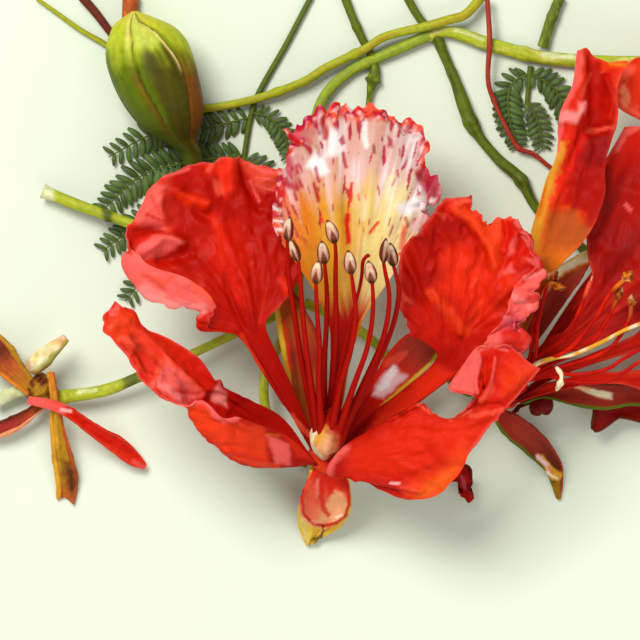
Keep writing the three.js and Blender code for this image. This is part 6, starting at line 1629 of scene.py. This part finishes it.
witheredPetal = {
    "grid": (110, 40), "blade": (0.1, 0.3), "length": 30, "fan": (-60, 12), "seed": 8,
    "ripples": [(14, 0.3, 2)], "crinkle": [(2.4, 0.35), (1, 0.14)],
    "guides": [
        [(-60.4, 10.6, 7.2), (-56, 9.6, 9.6), (-52.6, 8.2, 9.8), (-48, 4.8, 7.8), (-44, 1.6, 5.4),
         (-40, -1.4, 3.4), (-36.8, -2.6, 2.4)],
        [(-60.2, 11.3, 7), (-56, 10.6, 9.4), (-52.2, 9.2, 9.5), (-47.4, 5.8, 7.4), (-42.8, 2.6, 5),
         (-39, 0, 3.2), (-36.4, -2.2, 2.3)],
        [(-60, 12.2, 7.2), (-55.8, 11.6, 9.6), (-51.6, 10, 9.8), (-46.6, 6.6, 7.8), (-41.4, 3.8, 5.4),
         (-38.2, 1, 3.4), (-36.2, -1.6, 2.4)],
    ],
    "base": duskyBase("pink", "scarlet", "red", "red", "red"),
    "paint": [area([(-61, 11), (-60, 13), (-52, 10.6), (-53, 8)], 0.8, "pink", 0.7),
              # painted highlight: a blush stroke
              line([(-53.4, 9.4), (-51.6, 9.2)], 0.5, "blush"),
              line([(-39, -1), (-36.6, -2.4)], 0.7, "pink", 0.5)],
}
addPiece("witheredPetal", sheet(witheredPetal), "petalSkin", "red_petal", "withered_petal")
print("withered bloom made")


# Stalks. knots are (place, length, height): rings of old scars where a flower or twig stood.

def stalkBase(top, under, streaks, seed):
    def base(points, along, turn, ways):
        # painted light: the top colour on the sides that face up, the under colour on those that face down
        colours = mixed(under, top, smooth(-0.35, 0.5, ways[:, 2]))
        streak = wander(np.c_[np.cos(turn) * 1.6, np.sin(turn) * 1.6, along * 9], 1, seed)
        return mixed(colours, streaks, 0.6 * smooth(0.05, 0.55, streak))
    return base


def knotted(knots, seed):
    def shape(along, turn, middle):
        radius = 1 + 0.05 * wander(np.c_[np.cos(turn), np.sin(turn), along * 12], 1, seed)
        for place, length, height in knots:
            radius = radius + height * np.exp(-((along - place) / length) ** 2)
        return radius
    return shape


stalkLevel, nodeLevel, stalkUpright = 1.7, 7, (0.35, 0.2, 0.92)
stalks = {
    "mainStalk": {
        "node": "main_stalk", "inks": ("lime", "moss", "straw"), "steps": 120, "sides": 24,
        "path": [(72, 79.6, stalkLevel), (66, 79.6, stalkLevel), (60, 79.6, stalkLevel),
                 (50, 80.1, stalkLevel), (42.8, 80.9, stalkLevel), (33, 83.4, stalkLevel),
                 (25, 85.9, stalkLevel), (19.6, 84.6, 1.6)],
        "radii": [1.55, 1.45, 1.4, 1.35, 1.4, 0.9], "knots": [(0.6, 0.02, 0.18), (0.97, 0.03, 0.15)],
        "paint": [line([(44, 81.4), (50, 80.7)], 0.8, "pale"),
                  line([(32, 84.4), (26, 86.4)], 0.5, "pale", 0.5)],
    },
    "floweringStalk": {
        "node": "flowering_stalk", "inks": ("leaf", "moss", "lime"), "steps": 160, "sides": 22,
        "path": [(20.9, 85.3, stalkLevel), (12, 81.3, 1.5), (5, 78, 1.5), (-0.8, 72, 2), (-3.2, 62, 3.2),
                 (-4.4, 52, 4.8), (-5.2, 43, 6.3), (-6, 35, nodeLevel), (-6.8, 27.6, 7.2)],
        "radii": [1.3, 1.1, 1.05, 1.1, 1.2, 1.5, 1.3],
        "knots": [(0.2, 0.02, 0.2), (0.55, 0.02, 0.2), (0.8, 0.02, 0.2), (0.93, 0.02, 0.25)],
    },
    "upperLeftTwig": {
        "node": "twig_top_left", "slot": "dark_stalk", "inks": ("moss", "olive", "brown"), "steps": 24,
        "sides": 14,
        "path": [(3.8, 93, 1.4), (5.4, 88.8, 1.5), (7.5, 84.2, 1.5), (9.4, 81, 1.4)], "radii": [0.9, 0.8],
        "knots": [(0.5, 0.06, 0.2)],
    },
    "knottyTwig": {
        "node": "twig_behind_standard", "inks": ("moss", "olive", "lime"), "steps": 50, "sides": 16,
        "path": [(9.7, 80, 1.4), (9.9, 77.8, 1.4), (9, 74, 1.4), (8.4, 70, 1.3), (8, 66, 1.2)],
        "radii": [0.7, 1.2, 0.6, 0.55, 0.5], "knots": [(0.28, 0.03, 0.5)],
    },
    "upperTwig": {
        "node": "twig_top", "slot": "dark_stalk", "inks": ("moss", "olive", "brown"), "steps": 24,
        "sides": 14,
        "path": [(16.4, 93, 2.4), (17.8, 90.4, 2.2), (20.2, 86.8, 2)], "radii": [0.9, 0.8],
        "knots": [(0.9, 0.1, 0.25)],
    },
    "bareAxis": {
        "node": "bare_axis", "slot": "dark_stalk", "inks": ("moss", "olive", "umber"), "steps": 150,
        "sides": 20,
        "path": [(22.2, 85.2, 1.5), (26, 76.4, 1.5), (29.6, 67, 1.7), (34.4, 60.6, 1.6), (39.2, 56.2, 1.7),
                 (42.4, 50.6, 1.6), (47, 46, 1.5), (54, 40.6, 1.5)],
        "radii": [1.2, 1, 1.4, 1, 1.2, 1, 1, 0.9],
        "knots": [(0.34, 0.02, 0.3), (0.37, 0.012, 0.2), (0.62, 0.018, 0.3), (0.15, 0.015, 0.12)],
    },
    "upperRightTwig": {
        "node": "twig_top_right", "inks": ("moss", "olive", "lime"), "steps": 24, "sides": 14,
        "path": [(47.4, 93, 1.5), (45.4, 88, 1.5), (43.8, 82.8, 1.6)], "radii": [1.05, 1.05],
        "knots": [(0.4, 0.06, 0.15)],
    },
    "redStalk": {
        "node": "red_stalk", "slot": "red_stalk", "inks": ("mauve", "brown", "rust"), "steps": 120,
        "sides": 12,
        "path": [(32.6, 93, 3.4), (33, 87, 3.8), (33.1, 83.3, 4), (32.8, 76, 3), (34.4, 71, 2.4),
                 (37, 65.5, 2.1), (39, 62.4, 1.9), (42, 61.2, 1.8), (45, 58.8, 1.4), (48, 57, 1)],
        "radii": [0.5, 0.55, 0.5, 0.45, 0.5, 0.4], "knots": [(0.5, 0.015, 0.3), (0.75, 0.015, 0.4)],
    },
    "barePedicel": {
        "node": "stub_pedicel", "inks": ("lime", "moss", "leaf"), "steps": 110, "sides": 20,
        "path": [(-57.2, 53.7, 3), (-49, 50.4, 4), (-38.6, 46.7, 5.6), (-24, 41, 6.8), (-8.2, 34.8, 7)],
        "radii": [1.25, 1.1, 1, 0.95, 1.05], "knots": [(0, 0.012, 0.25), (0.27, 0.012, 0.22)],
        "paint": [area([(-58.6, 56), (-55.4, 55.6), (-55.2, 51), (-58.6, 51)], 0.5, "pale", 0.95),
                  area([(-45.4, 50.6), (-43, 49.8), (-43, 46.6), (-45, 47)], 0.6, "olive", 0.9)],
    },
    "budPedicel": {
        "node": "bud_pedicel", "inks": ("moss", "olive", "olive"), "steps": 70, "sides": 20,
        "path": [(-26, 58.6, 8.5), (-24.2, 54, 8), (-19.4, 46.4, 7.4), (-13, 41.6, 7), (-7.6, 39.4, 6.8)],
        "radii": [1.7, 1.25, 1.05, 1, 1.05], "knots": [(0.1, 0.02, 0.1)],
    },
    "witheredPedicel": {
        "node": "withered_pedicel", "inks": ("lime", "moss", "citrine"), "steps": 110, "sides": 20,
        "path": [(-54.2, 11.9, 4.2), (-45, 13.3, 4.6), (-38, 16, 5.2), (-26.5, 21, 6.2), (-16, 26, 7),
                 (-8.8, 29.2, 7.2)],
        "radii": [1.35, 1.2, 0.9, 0.9, 1.05], "knots": [(0.03, 0.015, 0.15), (0.36, 0.012, 0.12)],
        # painted highlight: a pale stroke along the top
        "paint": [line([(-50, 13), (-46.6, 13.6)], 0.5, "pale", 0.7),
                  area([(-41.4, 16.6), (-38, 18.4), (-37, 14.6), (-40.6, 13)], 0.8, "olive")],
    },
    "mainPedicel": {
        "node": "main_pedicel", "inks": ("lime", "moss", "straw"), "steps": 120, "sides": 20,
        "path": [(-6.86, 27.25, 7.2), (-8.2, 24.4, 7.4), (-12.2, 17, 7.6), (-12, 9, 6.6), (-8, 3.4, 5.4),
                 (-3.8, -0.2, 4.8), (-1, -2.8, 6), (0.2, -3.9, 8.7)],
        "radii": [1.05, 1, 1, 1.1, 1.2], "knots": [(0.1, 0.015, 0.12)],
    },
    "sidePedicel": {
        "node": "side_pedicel", "inks": ("lime", "moss", "leaf"), "steps": 140, "sides": 20,
        "path": [(-4.3, 31.2, 7.1), (3, 27.6, 6.8), (8, 24.6, 6.4), (12, 20.4, 6.2), (14.4, 14.6, 6),
                 (16, 9.6, 5.8), (19.6, 6.6, 5.4), (25, 5.4, 4.8), (29, 6.4, 4.2), (30.3, 9.2, 4.4),
                 (30.7, 11.1, 5.9), (31.57, 11.58, 7.02)],
        "radii": [1.05, 0.95, 0.95, 1, 1.1, 1.2], "knots": [(0.2, 0.01, 0.14)],
    },
}

for i, (name, stalk) in enumerate(stalks.items()):
    body = bodyOf(stalk, upright=stalkUpright, shape=knotted(stalk["knots"], i),
                  base=stalkBase(*stalk["inks"], i), paint=stalk.get("paint", []))
    addPiece(name, body, "stalkSkin", stalk.get("slot", "green_stalk"), stalk["node"])

runner = {
    "path": [(31.5, 93, 3.2), (28.2, 89.4, 3.6), (24.5, 88.2, 3.8), (20, 86.9, 3.9), (12, 84.9, 3.4),
             (7.5, 82.2, 2.8), (0, 78.6, 2.6), (-5, 75.6, 2.5), (-15, 72.1, 2.5), (-25, 70.4, 2.2),
             (-31, 71.6, 1.6), (-37, 76, 1), (-42, 81.3, 1), (-45, 83.6, 1), (-49.5, 86.2, 1),
             (-54, 89.4, 1), (-58.5, 92.6, 1)],
    "radii": [1, 0.95, 0.9, 0.9, 0.85, 0.8, 0.75, 0.55, 0.4], "sides": 18, "steps": 240,
    "knots": [(0.28, 0.008, 0.25), (0.45, 0.008, 0.2), (0.62, 0.008, 0.2)],
    "darkEnd": ([(-39.4, 78.6, 1.1), (-42, 83.4, 1.2), (-46, 89, 1.3), (-49.4, 93, 1.4)],
                [0.6, 0.7, 0.85, 0.95]),
    "orangeEnd": ([(-36.8, 76, 1.1), (-39, 82, 1.4), (-39.7, 87.6, 1.7), (-39.5, 93, 1.8)],
                  [0.6, 0.9, 1.3, 1.55, 1.7]),
}
sideStalk = bodyOf(runner, upright=stalkUpright, shape=knotted(runner["knots"], 21),
                   base=stalkBase("citrine", "moss", "ochre", 20))
joinTo(sideStalk, tube(*runner["darkEnd"], 14, 40, base=stalkBase("brown", "maroon", "umber", 22)))
joinTo(sideStalk, tube(*runner["orangeEnd"], 18, 40, base=stalkBase("rust", "brown", "orange", 23)))
addPiece("runningStalk", sideStalk, "stalkSkin", "green_stalk", "side_stalk")
print("stalks made")


# Feathery leaves: rows of small leaflets in pairs along a thread-like rib

leafForm = {"width": 0.27, "bow": 0.12, "thickness": 0.09, "pairs": 2.1, "rib": 0.28, "seed": 12,
            "slimness": 0.62, "size": (0.92, 1.06), "spread": (56, 66), "roll": (-0.25, 0.25),
            "droop": (-0.12, 0.1)}
chance = random.Random(leafForm["seed"])
leafletPattern = bmesh.new()
bmesh.ops.create_grid(leafletPattern, x_segments=2, y_segments=5, size=1)
for vert in leafletPattern.verts:
    x, y = vert.co.x, (vert.co.y + 1) / 2
    half = leafForm["width"] * math.sin(math.pi * (0.1 + 0.8 * y)) ** 0.7
    vert.co = (x * half, y, leafForm["bow"] * math.sin(math.pi * y) - 0.07 * abs(x))


def leafletBase(bm, shade):
    flat = coordinates(bm)
    colours = mixed("forest", "fern", np.full(len(flat), shade))
    colours = mixed(colours, "leaf", 0.25 * np.exp(-(flat[:, 0] / 0.06) ** 2))
    dress(bm, flat[:, 0], flat[:, 1], colours)


def ribBase(points, along, turn, ways):
    # painted light: lighter on the sides that face up
    return mixed("forest", "moss", smooth(-0.2, 0.6, ways[:, 2]))


def leafletRow(whole, rib, count, length):
    path = [(x, y, 1.2) for x, y in rib]
    joinTo(whole, tube(path, [leafForm["rib"], leafForm["rib"] * 0.8, 0.16], 6, 26, base=ribBase))
    pairs = int(count * leafForm["pairs"])
    places, ways = alongPath(path, (np.arange(pairs) + 0.6) / (pairs + 0.4))
    for i, (place, way) in enumerate(zip(places, ways)):
        share = (i + 0.5) / pairs
        reach = length * (0.55 + 0.45 * math.sin(math.pi * (share * 0.85 + 0.12)))
        for sign in (-1, 1):
            leaflet = leafletPattern.copy()
            leafletBase(leaflet, chance.uniform(0, 1))
            thicken(leaflet, leafForm["thickness"])
            size = reach * chance.uniform(*leafForm["size"])
            swing = sign * math.radians(chance.uniform(*leafForm["spread"]))
            heading = math.atan2(way[1], way[0]) - math.pi / 2 - swing
            turned = (Matrix.Translation(Vector(place)) @ Matrix.Rotation(heading, 4, "Z")
                      @ Matrix.Rotation(chance.uniform(*leafForm["roll"]), 4, "Y")
                      @ Matrix.Rotation(chance.uniform(*leafForm["droop"]), 4, "X")
                      @ Matrix.Diagonal((size * leafForm["slimness"], size, size, 1)))
            bmesh.ops.transform(leaflet, matrix=turned, verts=leaflet.verts)
            joinTo(whole, leaflet)


leaves = {
    "leftLeaf": {
        "node": "leaf_left",
        "midrib": [(-3, 93, 0.9), (-8, 83.5, 0.9), (-13.4, 74, 0.9), (-15.2, 69, 0.9), (-16.4, 62, 0.9),
                   (-17.5, 54, 0.9), (-18.8, 46, 0.9), (-20.5, 38, 0.9), (-22, 33, 0.9)],
        "rows": [
            ([(-15.2, 68.6), (-24, 66.6), (-34, 65.6), (-44, 60.6)], 9, 4.2),
            ([(-16.6, 61), (-27, 59.6), (-37, 57), (-45.4, 49.6)], 10, 4.6),
            ([(-17.8, 52), (-27, 50.6), (-37, 47.4), (-45.4, 41.4)], 10, 4.2),
            ([(-19.4, 43), (-27, 41.6), (-35, 38), (-40.6, 31.4)], 8, 4),
            ([(-15, 69.6), (-11.4, 68.4), (-8.4, 64.6), (-7.4, 60)], 5, 3),
            ([(-16.6, 60.4), (-12.6, 58), (-10, 53.6), (-9.6, 48)], 5, 3.4),
        ],
    },
    "rightLeaf": {
        "node": "leaf_right",
        "midrib": [(41.4, 79, 0.9), (41, 75, 0.9), (40.6, 71, 0.9)],
        "rows": [
            ([(41.2, 77.6), (37.4, 75), (37, 69), (39, 62.6)], 7, 3.6),
            ([(40.8, 72), (42.4, 69), (43.4, 66), (43.8, 62)], 4, 3),
            ([(41.2, 77.6), (45.6, 75), (48.6, 70.6), (51, 65)], 6, 3.6),
        ],
    },
}
for name, leaf in leaves.items():
    whole = tube(leaf["midrib"], [0.6, 0.6, 0.5, 0.45], 10, 60, base=ribBase)
    for row in leaf["rows"]:
        leafletRow(whole, *row)
    addPiece(name, whole, "leafSkin", "leaf", leaf["node"])
leafletPattern.free()
print("leaves made")


# The stage: a pale floor, soft studio light from above and a camera that looks straight down

stage = {
    "floorSize": 0.7, "floorInks": ("d3dcc2", "dae1cc"), "floorGrain": 6, "floorRoughness": 0.85,
    "middle": (-0.007828, -0.010127), "distance": 2.4, "lift": 0.03, "frameWidth": 0.128, "sensor": 36,
    "clip": (0.1, 10),
    "key": {"place": (-0.35, 0.45, 0.9), "size": 0.45, "energy": 11},
    "fill": {"place": (0.35, -0.6, 0.7), "size": 0.8, "energy": 3.4},
    "sky": (0.96, 0.97, 1), "skyStrength": 0.46,
}

floorMesh = bmesh.new()
bmesh.ops.create_grid(floorMesh, x_segments=8, y_segments=8, size=stage["floorSize"])
mesh = bpy.data.meshes.new("floor")
floorMesh.to_mesh(mesh)
floorMesh.free()
floor = bpy.data.objects.new("floor", mesh)
bpy.context.scene.collection.objects.link(floor)
floorSkin = bpy.data.materials.new("floorSkin")
floorSkin.use_nodes = True
tree = floorSkin.node_tree
grain = tree.nodes.new("ShaderNodeTexNoise")
grain.inputs["Scale"].default_value = stage["floorGrain"]
coords = tree.nodes.new("ShaderNodeTexCoord")
ramp = tree.nodes.new("ShaderNodeValToRGB")
for element, code in zip(ramp.color_ramp.elements, stage["floorInks"]):
    element.color = (*tint(code), 1)
tree.links.new(coords.outputs["Object"], grain.inputs["Vector"])
tree.links.new(grain.outputs["Fac"], ramp.inputs["Fac"])
tree.links.new(ramp.outputs["Color"], tree.nodes["Principled BSDF"].inputs["Base Color"])
tree.nodes["Principled BSDF"].inputs["Roughness"].default_value = stage["floorRoughness"]
mesh.materials.append(floorSkin)

for name in ("key", "fill"):
    settings = stage[name]
    lamp = bpy.data.lights.new(name, "AREA")
    lamp.size = settings["size"]
    lamp.energy = settings["energy"]
    light = bpy.data.objects.new(name, lamp)
    light.location = settings["place"]
    light.rotation_euler = (-Vector(settings["place"])).to_track_quat("-Z", "Y").to_euler()
    bpy.context.scene.collection.objects.link(light)

world = bpy.data.worlds.new("sky")
world.use_nodes = True
world.node_tree.nodes["Background"].inputs["Color"].default_value = (*stage["sky"], 1)
world.node_tree.nodes["Background"].inputs["Strength"].default_value = stage["skyStrength"]
bpy.context.scene.world = world

lens = bpy.data.cameras.new("camera")
lens.sensor_width = stage["sensor"]
lens.lens = stage["sensor"] * stage["distance"] / stage["frameWidth"]
lens.clip_start, lens.clip_end = stage["clip"]
camera = bpy.data.objects.new("camera", lens)
camera.location = (*stage["middle"], stage["distance"] + stage["lift"])
bpy.context.scene.collection.objects.link(camera)
bpy.context.scene.camera = camera
print("stage set")
